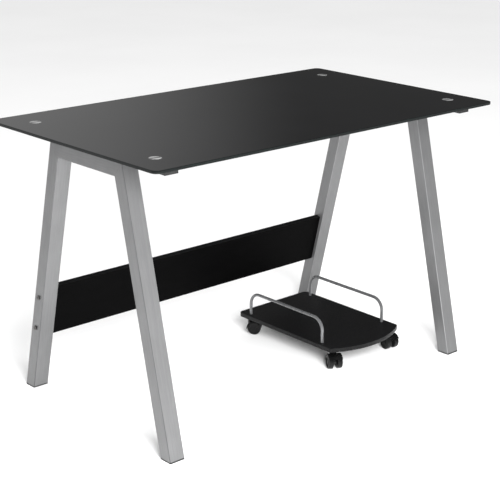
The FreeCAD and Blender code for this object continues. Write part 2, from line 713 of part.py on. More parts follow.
def build_guard(name, side):
    """Bent rod let into the tray: two posts and a top run, screwed from below."""
    body = new_body(name)
    front, rear = -size["guard_front"], size["guard_rear"]
    high, bend = size["guard_height"] + size["guard_socket"], size["guard_bend"]
    path = new_sketch(body, "YZ_Plane")
    normal = Vector(0, 0, 1)
    path.addGeometry(Part.LineSegment(Vector(front, 0, 0), Vector(front, high - bend, 0)), False)
    corner = Part.Circle(Vector(front + bend, high - bend, 0), normal, bend)
    path.addGeometry(Part.ArcOfCircle(corner, math.pi / 2, math.pi), False)
    path.addGeometry(Part.LineSegment(Vector(front + bend, high, 0), Vector(rear - bend, high, 0)), False)
    corner = Part.Circle(Vector(rear - bend, high - bend, 0), normal, bend)
    path.addGeometry(Part.ArcOfCircle(corner, 0, math.pi / 2), False)
    path.addGeometry(Part.LineSegment(Vector(rear, high - bend, 0), Vector(rear, 0, 0)), False)
    path.addConstraint(Sketcher.Constraint("Tangent", 0, 2, 1, 2))
    path.addConstraint(Sketcher.Constraint("Tangent", 1, 1, 2, 1))
    path.addConstraint(Sketcher.Constraint("Tangent", 2, 2, 3, 2))
    path.addConstraint(Sketcher.Constraint("Tangent", 3, 1, 4, 1))
    path.addConstraint(Sketcher.Constraint("Vertical", 0))
    path.addConstraint(Sketcher.Constraint("Horizontal", 2))
    path.addConstraint(Sketcher.Constraint("Vertical", 4))
    pin_point(path, 0, 1, "-guard_front", "0")
    pin_point(path, 4, 2, "guard_rear", "0")
    set_radius(path, 1, "guard_bend")
    set_radius(path, 3, "guard_bend")
    index = path.addConstraint(Sketcher.Constraint("DistanceY", -1, 1, 2, 1, high))
    path.renameConstraint(index, "rise")
    bind(path, "Constraints.rise", "guard_height + guard_socket")
    section = new_sketch(body, "XY_Plane")
    add_circles(section, [("0", "-guard_front")], "guard_radius")
    pipe = body.newObject("PartDesign::AdditivePipe", f"{name}_rod")
    pipe.Profile = section
    pipe.Spine = (path, [])
    holes = new_sketch(body, "XY_Plane")
    add_circles(holes, [("0", "-guard_front"), ("0", "guard_rear")], "guard_screw_radius + running_gap")
    pocket(body, holes, "guard_screw_length - tray_thickness + guard_socket + tip_gap", reverse=True)
    place(body, f"{TRAY_X} + ({signed(side, '(tray_width / 2 - guard_inset)')})", "0",
          f"{TRAY_TOP} - guard_socket")


def build_guard_screws():
    screws = []
    for x, y in guard_foot_points(TRAY_X):
        screw = countersunk_screw(f"guard_screw_{len(screws) + 1}", "guard_screw_radius",
                                  "guard_screw_radius * 2", "guard_screw_length")
        place(screw, x, y, TRAY_LOW)
        screws.append(screw)
    group("guard_screws", screws)


# ---------------------------------------------------------------- casters

def place_on_caster(item, side, end, yaw, at_axle=False):
    """Put a piece on a caster's swivel axis, or on its axle, turned by the caster's yaw."""
    reach = "caster_trail" if at_axle else "0"
    place(item, f"{swivel_x(side)} + {reach} * sin({yaw} * 1 deg)",
          f"{swivel_y(end)} - {reach} * cos({yaw} * 1 deg)",
          "wheel_radius" if at_axle else "0", angle=yaw)


def build_caster_plate(name, side, end):
    """Round steel plate under the tray, with a hole for the swivel pin and four screws."""
    body = new_body(name)
    disc = new_sketch(body, "XY_Plane")
    add_circles(disc, [("0", "0")], "plate_radius")
    pad(body, disc, "plate_thickness")
    centre = new_sketch(body, "XY_Plane")
    add_circles(centre, [("0", "0")], "pin_radius + running_gap")
    pocket(body, centre, reverse=True)
    holes = new_sketch(body, "XY_Plane")
    add_circles(holes, plate_screw_points(), "screw_radius + screw_clearance")
    pocket(body, holes, reverse=True)
    hole = size["screw_radius"] + size["screw_clearance"]
    dress(body, "Chamfer", "screw_head_radius - screw_radius", round_edge(hole, 0))
    place(body, swivel_x(side), swivel_y(end), PLATE_LOW)


def build_swivel_pin(name, side, end, yaw):
    """Steel pin riveted into the plate; its collar is the yoke's thrust face."""
    body = new_body(name)
    sketch = new_sketch(body, "XZ_Plane")
    add_polygon(sketch, [
        ("0", PIN_TIP), ("pin_radius", PIN_TIP), ("pin_radius", COLLAR_LOW),
        ("pin_flange_radius", COLLAR_LOW), ("pin_flange_radius", PLATE_LOW),
        ("pin_radius", PLATE_LOW), ("pin_radius", TRAY_LOW), ("0", TRAY_LOW)])
    revolve(body, sketch, "V_Axis")
    place_on_caster(body, side, end, yaw)


def build_caster_yoke(name, side, end, yaw):
    """Hooded yoke between the twin wheels: a half round hood, a hub and a swivel boss."""
    body = new_body(name)
    axle_y, axle_z = -size["caster_trail"], size["wheel_radius"]
    radius = size["wheel_radius"] + size["hood_clearance"] + size["hood_thickness"]
    start, stop = math.radians(-5), math.radians(150)
    hood = new_sketch(body, "YZ_Plane")
    centre = Vector(axle_y, axle_z, 0)
    rim = Part.Circle(centre, Vector(0, 0, 1), radius)
    tips = [centre + Vector(math.cos(a), math.sin(a), 0) * radius for a in (start, stop)]
    hood.addGeometry(Part.ArcOfCircle(rim, start, stop), False)
    hood.addGeometry(Part.LineSegment(tips[1], centre), False)
    hood.addGeometry(Part.LineSegment(centre, tips[0]), False)
    hood.addConstraint(Sketcher.Constraint("Coincident", 0, 2, 1, 1))
    hood.addConstraint(Sketcher.Constraint("Coincident", 1, 2, 2, 1))
    hood.addConstraint(Sketcher.Constraint("Coincident", 2, 2, 0, 1))
    hood.addConstraint(Sketcher.Constraint("Coincident", 0, 3, 1, 2))
    pin_point(hood, 0, 3, "-caster_trail", "wheel_radius")
    set_radius(hood, 0, HOOD_RADIUS)
    hood.addConstraint(Sketcher.Constraint("Angle", 2, start))
    hood.addConstraint(Sketcher.Constraint("Angle", 1, stop - math.pi))
    pad(body, hood, f"2 * {WHEEL_OUTER}", symmetric=True)
    dress(body, "Fillet", "hood_edge",
          lambda edge: isinstance(edge.Curve, Part.Circle) and abs(edge.Curve.Radius - radius) < 1e-6)
    boss = new_sketch(body, "XY_Plane", "wheel_radius + yoke_hub_radius")
    add_circles(boss, [("0", "0")], "yoke_boss_radius")
    pad(body, boss, f"{YOKE_TOP} - wheel_radius - yoke_hub_radius")
    hub = new_sketch(body, "YZ_Plane")
    add_circles(hub, [("-caster_trail", "wheel_radius")], "yoke_hub_radius")
    pad(body, hub, "yoke_web", symmetric=True)
    for wheel_side in SIDES.values():
        well = new_sketch(body, "YZ_Plane", signed(wheel_side, "yoke_web / 2"))
        add_circles(well, [("-caster_trail", "wheel_radius")], "wheel_radius + hood_clearance")
        pocket(body, well, "wheel_width * 2", reverse=wheel_side > 0)
    bore = new_sketch(body, "XY_Plane", YOKE_TOP)
    add_circles(bore, [("0", "0")], "pin_radius + running_gap")
    pocket(body, bore, f"{YOKE_TOP} - {PIN_TIP} + tip_gap")
    axle = new_sketch(body, "YZ_Plane")
    add_circles(axle, [("-caster_trail", "wheel_radius")], "axle_radius + running_gap")
    pocket(body, axle, symmetric=True)
    place_on_caster(body, side, end, yaw)


def build_caster_axle(name, side, end, yaw):
    """Steel axle with a button at each end, which keeps the wheels on."""
    body = new_body(name)
    sketch = new_sketch(body, "XZ_Plane")
    inner = f"({WHEEL_OUTER} - wheel_dish_depth + axle_head_gap)"
    outer = f"({inner} + axle_head_thickness)"
    add_polygon(sketch, [
        (f"-{outer}", "0"), (f"-{outer}", "axle_head_radius"), (f"-{inner}", "axle_head_radius"),
        (f"-{inner}", "axle_radius"), (inner, "axle_radius"), (inner, "axle_head_radius"),
        (outer, "axle_head_radius"), (outer, "0")])
    revolve(body, sketch, "H_Axis")
    place_on_caster(body, side, end, yaw, at_axle=True)


def build_caster_wheel(name, side, end, yaw, wheel_side):
    """Nylon wheel with rounded shoulders and a dished outer face."""
    body = new_body(name)
    sketch = new_sketch(body, "XZ_Plane")
    bore = "(axle_radius + running_gap)"
    dish = f"({WHEEL_OUTER} - wheel_dish_depth)"
    profile = [(WHEEL_INNER, bore), (dish, bore), (dish, "wheel_dish_radius"),
               (WHEEL_OUTER, "wheel_dish_radius"), (WHEEL_OUTER, "wheel_radius"),
               (WHEEL_INNER, "wheel_radius")]
    add_polygon(sketch, [(signed(wheel_side, x), radius) for x, radius in profile])
    revolve(body, sketch, "H_Axis")
    dress(body, "Fillet", "wheel_shoulder", round_edge(size["wheel_radius"]))
    place_on_caster(body, side, end, yaw, at_axle=True)


def build_casters():
    screws = []
    for where, side, end, yaw in caster_positions():
        build_caster_plate(f"caster_plate_{where}", side, end)
        build_swivel_pin(f"swivel_pin_{where}", side, end, yaw)
        build_caster_yoke(f"caster_yoke_{where}", side, end, yaw)
        build_caster_axle(f"caster_axle_{where}", side, end, yaw)
        for wheel_name, wheel_side in SIDES.items():
            build_caster_wheel(f"caster_wheel_{where}_{wheel_name}", side, end, yaw, wheel_side)
        for x, y in plate_screw_points(swivel_x(side), swivel_y(end)):
            screw = countersunk_screw(f"caster_screw_{len(screws) + 1}", "screw_radius",
                                      "screw_head_radius", "screw_length")
            place(screw, x, y, PLATE_LOW)
            screws.append(screw)
    group("caster_screws", screws)


# ---------------------------------------------------------------- the whole desk

def build_desk():
    build_glass_top()
    for side_name, side in SIDES.items():
        x = signed(side, FRAME_X)
        build_support_bar(f"support_bar_{side_name}", x)
        build_top_rail(f"top_rail_{side_name}", x)
        for end_name, end in ENDS.items():
            where = f"{end_name}_{side_name}"
            build_disc(f"glass_disc_{where}", x, signed(end, DISC_Y))
            build_bar_cap(f"bar_end_{where}", x, end)
            build_leg(f"leg_{where}", x, end)
            build_foot_cap(f"foot_cap_{where}", x, end)
    build_frame_fasteners()
    build_modesty_panel()
    build_panel_fasteners()


def build_tray():
    build_tray_board()
    for side_name, side in SIDES.items():
        build_guard(f"tray_guard_{side_name}", side)
    build_guard_screws()
    build_casters()


def check_and_write():
    doc.recompute()
    for item in doc.Objects:
        if "Invalid" in item.State or "Error" in item.State:
            raise RuntimeError(f"{item.Label} did not compute: {item.State}")
    for node in nodes:
        if node.Shape.isNull() or not node.Shape.isValid():
            raise RuntimeError(f"{node.Label} has no valid shape")
    os.makedirs("parts", exist_ok=True)
    for node in nodes:
        node.Shape.exportStep(f"parts/{node.Label}.step")
    print(f"{len(nodes)} sub-parts, {sum(len(node.Shape.Solids) for node in nodes)} solids")


build_desk()
build_tray()
check_and_write()
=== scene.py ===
import json
import math

import bmesh
import bpy
from bpy.props import FloatProperty, FloatVectorProperty, IntProperty, PointerProperty
from mathutils import Matrix, Vector


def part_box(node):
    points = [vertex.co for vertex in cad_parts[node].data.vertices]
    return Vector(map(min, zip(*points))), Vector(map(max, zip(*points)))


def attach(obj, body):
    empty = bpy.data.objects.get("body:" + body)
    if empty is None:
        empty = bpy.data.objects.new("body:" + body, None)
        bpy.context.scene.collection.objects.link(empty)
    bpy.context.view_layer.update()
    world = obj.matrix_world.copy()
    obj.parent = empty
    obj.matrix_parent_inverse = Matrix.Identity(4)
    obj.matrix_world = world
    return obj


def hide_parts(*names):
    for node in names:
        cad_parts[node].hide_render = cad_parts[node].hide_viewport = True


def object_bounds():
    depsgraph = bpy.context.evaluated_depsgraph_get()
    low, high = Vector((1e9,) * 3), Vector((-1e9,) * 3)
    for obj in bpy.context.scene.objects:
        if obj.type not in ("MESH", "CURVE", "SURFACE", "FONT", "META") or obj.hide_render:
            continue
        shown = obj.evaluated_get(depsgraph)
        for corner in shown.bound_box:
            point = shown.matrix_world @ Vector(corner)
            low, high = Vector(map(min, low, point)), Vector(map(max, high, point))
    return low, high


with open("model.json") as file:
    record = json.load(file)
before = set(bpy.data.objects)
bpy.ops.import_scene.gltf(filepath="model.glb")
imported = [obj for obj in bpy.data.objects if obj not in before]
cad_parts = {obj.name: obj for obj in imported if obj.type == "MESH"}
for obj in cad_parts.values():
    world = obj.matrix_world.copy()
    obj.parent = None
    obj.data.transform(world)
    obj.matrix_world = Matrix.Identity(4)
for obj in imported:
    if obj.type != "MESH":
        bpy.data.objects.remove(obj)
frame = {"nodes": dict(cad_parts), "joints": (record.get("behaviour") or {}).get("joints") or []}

bl_info = {
    "name": "Glass desk with rolling tray",
    "version": (1, 0, 0),
    "blender": (4, 5, 0),
    "location": "3D View > Sidebar > Glass desk",
    "description": "Builds a black glass desk on two silver frames, with a tray on casters under it",
    "category": "Object",
}

CAD_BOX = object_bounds()
MM = 0.001
SIDES = {"left": -1, "right": 1}
ENDS = {"front": -1, "rear": 1}
CORNERS = [f"{end}_{side}" for end in ENDS for side in SIDES]
JOINTS = {joint["name"]: joint for joint in frame["joints"]}
FULL_TURN = math.tau
QUARTER_TURN = math.pi / 2
UP = Vector((0, 0, 1))
SAME_PLACE = 0.001 * MM


# ---------------------------------------------------------------- sizes and colours

def length(name, description, default):
    """A length that a user may change, in metres."""
    return FloatProperty(name=name, description=description, default=default, unit="LENGTH",
                         min=0.0, precision=4)


def count(name, description, default):
    """A number of steps, ribs or faces that a user may change."""
    return IntProperty(name=name, description=description, default=default, min=1)


def strength(name, description, default):
    """The strength of a light that a user may change."""
    return FloatProperty(name=name, description=description, default=default, min=0.0)


def power(name, description, default):
    """The power of a lamp that a user may change, in watts."""
    return FloatProperty(name=name, description=description, default=default, min=0.0,
                         unit="POWER")


def angle(name, description, degrees):
    """An angle that a user may change."""
    return FloatProperty(name=name, description=description, default=math.radians(degrees),
                         unit="ROTATION")


def colour(name, description, default):
    """A colour that a user may change."""
    return FloatVectorProperty(name=name, description=description, default=default,
                               subtype="COLOR", size=3, min=0.0, max=1.0)


def factor(name, description, default):
    """A share from 0 to 1 that a user may change."""
    return FloatProperty(name=name, description=description, default=default,
                         subtype="FACTOR", min=0.0, max=1.0)


class GlassSizes(bpy.types.PropertyGroup):
    """The glass top."""
    corner: length("Corner radius", "Radius of the top's corners", 18 * MM)
    corner_steps: count("Corner steps", "Faces round each corner", 14)
    arris: length("Arris", "Width of the ground edge", 1.0 * MM)
    spot: length("Spot radius", "Radius of the clear spots over the bonded discs", 16.5 * MM)
    tint: colour("Glass colour", "Black enamel seen through the glass", (0.0022, 0.0022, 0.0025))
    metal: colour("Disc colour", "Bonded discs seen through the clear spots", (0.5, 0.5, 0.5))
    roughness: factor("Gloss", "Roughness of the glass face", 0.035)


class FrameSizes(bpy.types.PropertyGroup):
    """The two welded side frames, their feet and the bars on them."""
    edge: length("Edge radius", "Rounding of the tube's long edges", 3 * MM)
    weld: length("Weld bead", "Radius of the weld in each inside corner", 2.2 * MM)
    ripples: count("Weld ripples", "Ripples along a weld bead", 22)
    bar_edge: length("Bar edge", "Rounding of the support bars' long edges", 1.6 * MM)
    cap_rim: length("Bar end rim", "Rim round the shallow recess in a bar's end", 3 * MM)
    cap_recess: length("Bar end recess", "Depth of the recess in a bar's end", 0.5 * MM)
    sole_rim: length("Foot rim", "Rim round the recess under a foot", 3.5 * MM)
    sole_recess: length("Foot recess", "Depth of the recess under a foot", 0.8 * MM)
    paint: colour("Paint", "Silver paint of the frames", (0.156, 0.157, 0.159))
    dark: colour("Bar paint", "Black paint of the support bars", (0.012, 0.012, 0.013))
    plastic: colour("Plastic", "Black plastic of feet and bar ends", (0.012, 0.012, 0.012))


class BoardSizes(bpy.types.PropertyGroup):
    """The modesty panel and the tray board."""
    panel_edge: length("Panel edge", "Rounding of the panel's banded edges", 1.2 * MM)
    bow: length("Tray bow", "How far the front of the tray bows out", 42 * MM)
    bow_steps: count("Bow steps", "Faces along the tray's bowed front", 48)
    front_corner: length("Front corner", "Corner radius at the tray's front", 20 * MM)
    rear_corner: length("Rear corner", "Corner radius at the tray's rear", 14 * MM)
    tray_edge: length("Tray edge", "Rounding of the tray's edge", 3 * MM)
    face: colour("Board face", "Black board face", (0.0016, 0.0016, 0.0017))
    band: colour("Edge band", "Band along the boards' edges", (0.0032, 0.0032, 0.0034))


class GuardSizes(bpy.types.PropertyGroup):
    """The two bent rods that hold a tower on the tray."""
    bend: length("Bend radius", "Bend radius, to the middle of the rod", 36 * MM)
    bend_steps: count("Bend steps", "Faces along each bend", 14)
    sides: count("Sides", "Faces round the rod", 24)
    paint: colour("Rod paint", "Silver paint of the rods", (0.15, 0.152, 0.156))


class CasterSizes(bpy.types.PropertyGroup):
    """The twin-wheel casters."""
    steps: count("Steps", "Faces round a wheel", 56)
    shoulder: length("Shoulder", "Rounding of the tread", 2.5 * MM)
    dish: length("Dish radius", "Radius of the hollow in a wheel's face", 14 * MM)
    depth: length("Dish depth", "Depth of the hollow in a wheel's face", 2.6 * MM)
    bore: length("Bore radius", "Radius of the hole for the axle", 3.1 * MM)
    ribs: count("Ribs", "Ribs in a wheel's hollow", 6)
    rib_width: length("Rib width", "Width of a rib in a wheel's hollow", 1.4 * MM)
    rib_height: length("Rib height", "Height of a rib in a wheel's hollow", 1.1 * MM)
    hood: colour("Hood colour", "Nylon of the hoods", (0.0035, 0.0035, 0.0036))
    wheel: colour("Wheel colour", "Nylon of the wheels", (0.0048, 0.0048, 0.0049))


class HardwareSizes(bpy.types.PropertyGroup):
    """Bolts, nuts, screws, plates, pins and axles."""
    zinc: colour("Zinc", "Zinc plating of bolts, nuts, screws and pins", (0.55, 0.56, 0.57))
    dark: colour("Blackened", "Blackened caster plates and axles", (0.035, 0.035, 0.036))
    dull: colour("Dull steel", "Bolts that hold the panel", (0.16, 0.155, 0.15))


class StageSizes(bpy.types.PropertyGroup):
    """Floor, light and camera."""
    floor: colour("Floor", "Colour of the floor", (0.95, 0.95, 0.95))
    sky: strength("Sky", "Strength of the soft light all round", 0.86)
    mirror: strength("Dark surround", "Strength of what glossy faces mirror", 0.075)
    window: strength("Window", "Strength of the bright patch that glossy faces mirror", 0.47)
    key: power("Key light", "Power of the main light", 185.0)
    overhead: power("Overhead light", "Power of the light overhead", 60.0)
    lens: FloatProperty(name="Lens", description="Focal length of the camera", default=93.0,
                        min=1.0, unit="CAMERA")
    azimuth: angle("Azimuth", "Camera's turn round the desk", -42.12)
    elevation: angle("Elevation", "Camera's tilt down", 17.6)
    roll: angle("Roll", "Camera's roll", 0.399)
    place: FloatVectorProperty(name="Camera", description="Where the camera stands",
                               default=(-2.3001, -2.5438, 1.4733), subtype="TRANSLATION",
                               unit="LENGTH")


GROUPS = {
    "glass_sizes": GlassSizes,
    "frame_sizes": FrameSizes,
    "board_sizes": BoardSizes,
    "guard_sizes": GuardSizes,
    "caster_sizes": CasterSizes,
    "hardware_sizes": HardwareSizes,
    "stage_sizes": StageSizes,
}


# ---------------------------------------------------------------- finishes

SOCKETS = {
    "metallic": "Metallic",
    "roughness": "Roughness",
    "ior": "IOR",
    "specular": "Specular IOR Level",
    "coat": "Coat Weight",
    "coat_roughness": "Coat Roughness",
}


class Finish:
    """A procedural material on Object coordinates."""

    def __init__(self, name, **sockets):
        self.material = bpy.data.materials.new(name)
        self.material.use_nodes = True
        self.tree = self.material.node_tree
        self.shader = self.tree.nodes["Principled BSDF"]
        self.texture = self.add("ShaderNodeTexCoord")
        self.place = self.texture.outputs["Object"]
        for label, value in sockets.items():
            self.shader.inputs[SOCKETS[label]].default_value = value

    def add(self, kind, **settings):
        """Adds a node."""
        node = self.tree.nodes.new(kind)
        for label, value in settings.items():
            setattr(node, label, value)
        return node

    def join(self, source, target):
        """Links an output to an input."""
        self.tree.links.new(source, target)

    def feed(self, source, label):
        """Links an output to one of the shader's inputs."""
        self.join(source, self.shader.inputs[label])

    def split(self, vector):
        """The X, Y and Z of a vector."""
        node = self.add("ShaderNodeSeparateXYZ")
        self.join(vector, node.inputs[0])
        return [node.outputs[axis] for axis in "XYZ"]

    def gather(self, *parts):
        """A vector made of its X, Y and Z."""
        node = self.add("ShaderNodeCombineXYZ")
        for socket, value in zip(node.inputs, parts):
            self.join(value, socket)
        return node.outputs[0]

    def math(self, operation, first, second=None):
        """Works on one or two values, each an output or a number."""
        node = self.add("ShaderNodeMath", operation=operation)
        for socket, value in zip(node.inputs, (first, second)):
            if isinstance(value, (int, float)):
                socket.default_value = value
            elif value is not None:
                self.join(value, socket)
        return node.outputs[0]

    def noise(self, scale, detail=2.0, stretch=(1.0, 1.0, 1.0), seed=0.0, at=None):
        """Cloudy noise. A small stretch draws it out along that axis, and a seed moves it."""
        place = self.add("ShaderNodeMapping")
        place.inputs["Scale"].default_value = stretch
        place.inputs["Location"].default_value = (seed, seed * 0.7, seed * 1.3)
        self.join(self.place if at is None else at, place.inputs["Vector"])
        node = self.add("ShaderNodeTexNoise")
        node.inputs["Scale"].default_value = scale
        node.inputs["Detail"].default_value = detail
        self.join(place.outputs["Vector"], node.inputs["Vector"])
        return node.outputs["Fac"]

    def cells(self, scale):
        """Distance to the middle of the nearest cell."""
        node = self.add("ShaderNodeTexVoronoi")
        node.inputs["Scale"].default_value = scale
        self.join(self.place, node.inputs["Vector"])
        return node.outputs["Distance"]

    def spread(self, value, low=0.0, high=1.0, start=0.3, stop=0.7):
        """Eases from low to high as the value goes from start to stop."""
        node = self.add("ShaderNodeMapRange", interpolation_type="SMOOTHSTEP")
        self.join(value, node.inputs["Value"])
        for label, number in (("From Min", start), ("From Max", stop),
                              ("To Min", low), ("To Max", high)):
            node.inputs[label].default_value = number
        return node.outputs["Result"]

    def blend(self, share, first, second):
        """Mixes two colours, each an output or a colour."""
        node = self.add("ShaderNodeMix", data_type="RGBA")
        self.join(share, node.inputs[0])
        for socket, value in ((node.inputs[6], first), (node.inputs[7], second)):
            if hasattr(value, "is_output"):
                self.join(value, socket)
            else:
                socket.default_value = (*value, 1.0)
        return node.outputs[2]

    def choose(self, share, first, second):
        """The first vector where the share is 0, the second where it is 1."""
        node = self.add("ShaderNodeMix", data_type="VECTOR")
        for socket, value in ((node.inputs[0], share), (node.inputs[4], first),
                              (node.inputs[5], second)):
            self.join(value, socket)
        return node.outputs[1]

    def relief(self, height, depth, strength=1.0, under=None):
        """Adds fine relief over the relief under it, if any."""
        node = self.add("ShaderNodeBump")
        node.inputs["Distance"].default_value = depth
        node.inputs["Strength"].default_value = strength
        self.join(height, node.inputs["Height"])
        if under is not None:
            self.join(under, node.inputs["Normal"])
        self.feed(node.outputs["Normal"], "Normal")
        return node.outputs["Normal"]


def shade(tone, share):
    """A colour made lighter or darker."""
    return tuple(min(part * share, 1.0) for part in tone)


def painted_metal(name, tone, gloss, metallic, coat=0.1, peel=1.0):
    """Sprayed satin paint: cloudy tone, fine metal flake and a slight orange peel."""
    finish = Finish(name, metallic=metallic, coat=coat, coat_roughness=0.25)
    cloud = finish.spread(finish.noise(scale=9.0, detail=4.0))
    flake = finish.spread(finish.noise(scale=1500.0), start=0.42, stop=0.72)
    base = finish.blend(cloud, shade(tone, 0.94), shade(tone, 1.05))
    finish.feed(finish.blend(flake, base, shade(tone, 1.18)), "Base Color")
    scuff = finish.noise(scale=55.0, detail=6.0, stretch=(1.0, 1.0, 0.2), seed=3.0)
    finish.feed(finish.spread(scuff, gloss - 0.04, gloss + 0.06), "Roughness")
    under = finish.relief(finish.noise(scale=330.0), depth=0.05 * MM, strength=0.5 * peel)
    finish.relief(flake, depth=0.01 * MM, strength=0.4 * peel, under=under)
    return finish.material


def drawn_tube_grain(finish, lines):
    """Broad and fine streaks along the tubes, and the distance from the mitre joint."""
    grain = 0.02
    rail_margin = 4 * MM
    x, y, z = finish.split(finish.place)
    out = finish.math("ABSOLUTE", y)
    mitre = (lines["rail_half"] - lines["inner"]) / (lines["rail_high"] - lines["rail_low"])
    seam = finish.math("ADD", finish.math("MULTIPLY", z, mitre),
                       lines["inner"] - mitre * lines["rail_low"])
    on_rail = finish.math("MULTIPLY", finish.math("LESS_THAN", out, seam),
                          finish.math("GREATER_THAN", z, lines["rail_low"] - rail_margin))
    across_leg = finish.math("ADD", out, finish.math("MULTIPLY", z, lines["slope"]))
    legwise = finish.gather(x, across_leg, finish.math("MULTIPLY", z, grain))
    railwise = finish.gather(x, finish.math("MULTIPLY", y, grain), z)
    along = finish.choose(on_rail, legwise, railwise)
    broad = finish.spread(finish.noise(scale=260.0, detail=3.0, at=along))
    fine = finish.spread(finish.noise(scale=1100.0, detail=3.0, at=along))
    return broad, fine, finish.math("ABSOLUTE", finish.math("SUBTRACT", out, seam))


def painted_corner_reflection(finish, tone):
    """Where the tubes' upright corners are, and the painted reflection on them: a dark line on the
    outer corners and a bright line on the inner ones.
    """
    x = finish.split(finish.place)[0]
    face_x, face_y, _ = finish.split(finish.texture.outputs["Normal"])
    both = finish.math("ADD", finish.math("ABSOLUTE", face_x), finish.math("ABSOLUTE", face_y))
    corner = finish.spread(both, 0.0, 0.8, start=1.27, stop=1.39)
    # Painted reflection: outer corners get a dark line, inner corners a bright one.
    outwards = finish.math("GREATER_THAN", finish.math("MULTIPLY", face_x, x), 0.0)
    return corner, finish.blend(outwards, shade(tone, 1.9), shade(tone, 0.35))


def brushed_paint(name, tone, gloss, metallic, lines):
    """Silver paint over drawn tube: streaks run along the legs and along the rail between them."""
    finish = Finish(name, metallic=metallic, coat=0.1, coat_roughness=0.25)
    broad, fine, seam_gap = drawn_tube_grain(finish, lines)
    cloud = finish.spread(finish.noise(scale=7.0, detail=4.0))
    base = finish.blend(cloud, shade(tone, 0.92), shade(tone, 1.06))
    base = finish.blend(finish.math("MULTIPLY", broad, 0.35), base, shade(tone, 1.28))
    base = finish.blend(finish.math("MULTIPLY", fine, 0.4), base, shade(tone, 0.7))
    height = finish.split(finish.place)[2]
    above = finish.math("GREATER_THAN", height, lines["rail_low"] - 0.5 * MM)
    joint_line = finish.spread(seam_gap, 1.0, 0.0, start=0.2 * MM, stop=1.1 * MM)
    at_joint = finish.math("MULTIPLY", joint_line, above)
    base = finish.blend(finish.math("MULTIPLY", at_joint, 0.45), base, shade(tone, 0.45))
    # Painted reflection along the upright corners: dark outside, bright inside.
    corner, painted_corner_tone = painted_corner_reflection(finish, tone)
    finish.feed(finish.blend(corner, base, painted_corner_tone), "Base Color")
    scuff = finish.noise(scale=55.0, detail=6.0, stretch=(1.0, 1.0, 0.2), seed=3.0)
    finish.feed(finish.spread(scuff, gloss - 0.05, gloss + 0.07), "Roughness")
    under = finish.relief(finish.noise(scale=330.0), depth=0.04 * MM, strength=0.4)
    under = finish.relief(fine, depth=0.01 * MM, strength=0.5, under=under)
    finish.relief(finish.math("SUBTRACT", 1.0, at_joint), depth=0.2 * MM, strength=0.8, under=under)
    return finish.material


def turned_disc_with_painted_light(finish, sizes, away_x, away_y, signs):
    """Where the clear spots are, and the turned metal that shows in them, with a painted light slope
    across each disc, a painted dark reflection band through its middle and a painted shadow towards
    its rim.
    """
    squares = finish.math("ADD", finish.math("POWER", away_x, 2.0), finish.math("POWER", away_y, 2.0))
    reach = finish.math("SQRT", squares)
    rim, groove = sizes.spot, 0.9 * MM
    spot = finish.spread(reach, 1.0, 0.0, start=rim - 0.4 * MM, stop=rim)
    # Painted shadow: the metal darkens towards the rim of each spot.
    ring = finish.spread(reach, start=rim - 2.6 * MM, stop=rim - 1.2 * MM)
    turned = finish.math("SINE", finish.math("MULTIPLY", reach, FULL_TURN / groove))
    lathe = finish.spread(turned, start=-1.0, stop=1.0)
    side_x, side_y = (finish.math("MULTIPLY", away, finish.math("SIGN", sign))
                      for away, sign in zip((away_x, away_y), signs))
    slant = finish.math("ADD", finish.math("MULTIPLY", side_x, 0.15), side_y)
    # Painted light slope: each disc is lighter on one side and darker on the other.
    slope = finish.spread(slant, start=-rim, stop=rim)
    metal = finish.blend(slope, shade(sizes.metal, 1.15), shade(sizes.metal, 0.6))
    # Painted reflection: a dark band across the middle of each disc.
    band = finish.spread(finish.math("ABSOLUTE", slant), 1.0, 0.0, start=0.1 * rim, stop=0.5 * rim)
    metal = finish.blend(lathe, metal, shade(sizes.metal, 0.75))
    metal = finish.blend(finish.math("MULTIPLY", band, 0.85), metal, shade(sizes.metal, 0.12))
    # The painted shadow darkens the metal near the rim.
    return spot, finish.blend(ring, metal, shade(sizes.metal, 0.25))


def black_glass(name, sizes, spot_x, spot_y):
    """Glossy glass, black behind, with clear spots that show turned metal discs, which carry painted
    light, a painted reflection and a painted shadow.
    """
    finish = Finish(name, ior=1.5)
    x, y, _ = finish.split(finish.place)
    away_x = finish.math("SUBTRACT", finish.math("ABSOLUTE", x), spot_x)
    away_y = finish.math("SUBTRACT", finish.math("ABSOLUTE", y), spot_y)
    spot, metal = turned_disc_with_painted_light(finish, sizes, away_x, away_y, (x, y))
    enamel = finish.blend(finish.spread(finish.noise(scale=4.0, detail=3.0)),
                          sizes.tint, shade(sizes.tint, 1.5))
    # The clear spots show the disc metal with its painted light, reflection and shadow.
    finish.feed(finish.blend(spot, enamel, metal), "Base Color")
    finish.feed(finish.math("MULTIPLY", spot, 0.3), "Metallic")
    wiped = finish.noise(scale=5.0, detail=7.0, stretch=(1.0, 2.4, 1.0), seed=2.0)
    wiped = finish.spread(wiped, 0.0, 0.05, start=0.35, stop=0.8)
    polish = finish.math("ADD", wiped, sizes.roughness)
    finish.feed(finish.math("ADD", polish, finish.math("MULTIPLY", spot, 0.22)), "Roughness")
    finish.relief(finish.noise(scale=2.2, detail=1.0), depth=0.4 * MM, strength=0.12)
    return finish.material


def glass_edge(name, tone):
    """Ground and polished edge of the glass, with the green of its thickness."""
    finish = Finish(name, ior=1.5, specular=0.2)
    green = (0.003, 0.0055, 0.005)
    streak = finish.spread(finish.noise(scale=160.0, detail=3.0, stretch=(0.2, 0.2, 4.0)))
    finish.feed(finish.blend(streak, tone, green), "Base Color")
    finish.feed(finish.spread(finish.noise(scale=300.0), 0.16, 0.28), "Roughness")
    return finish.material


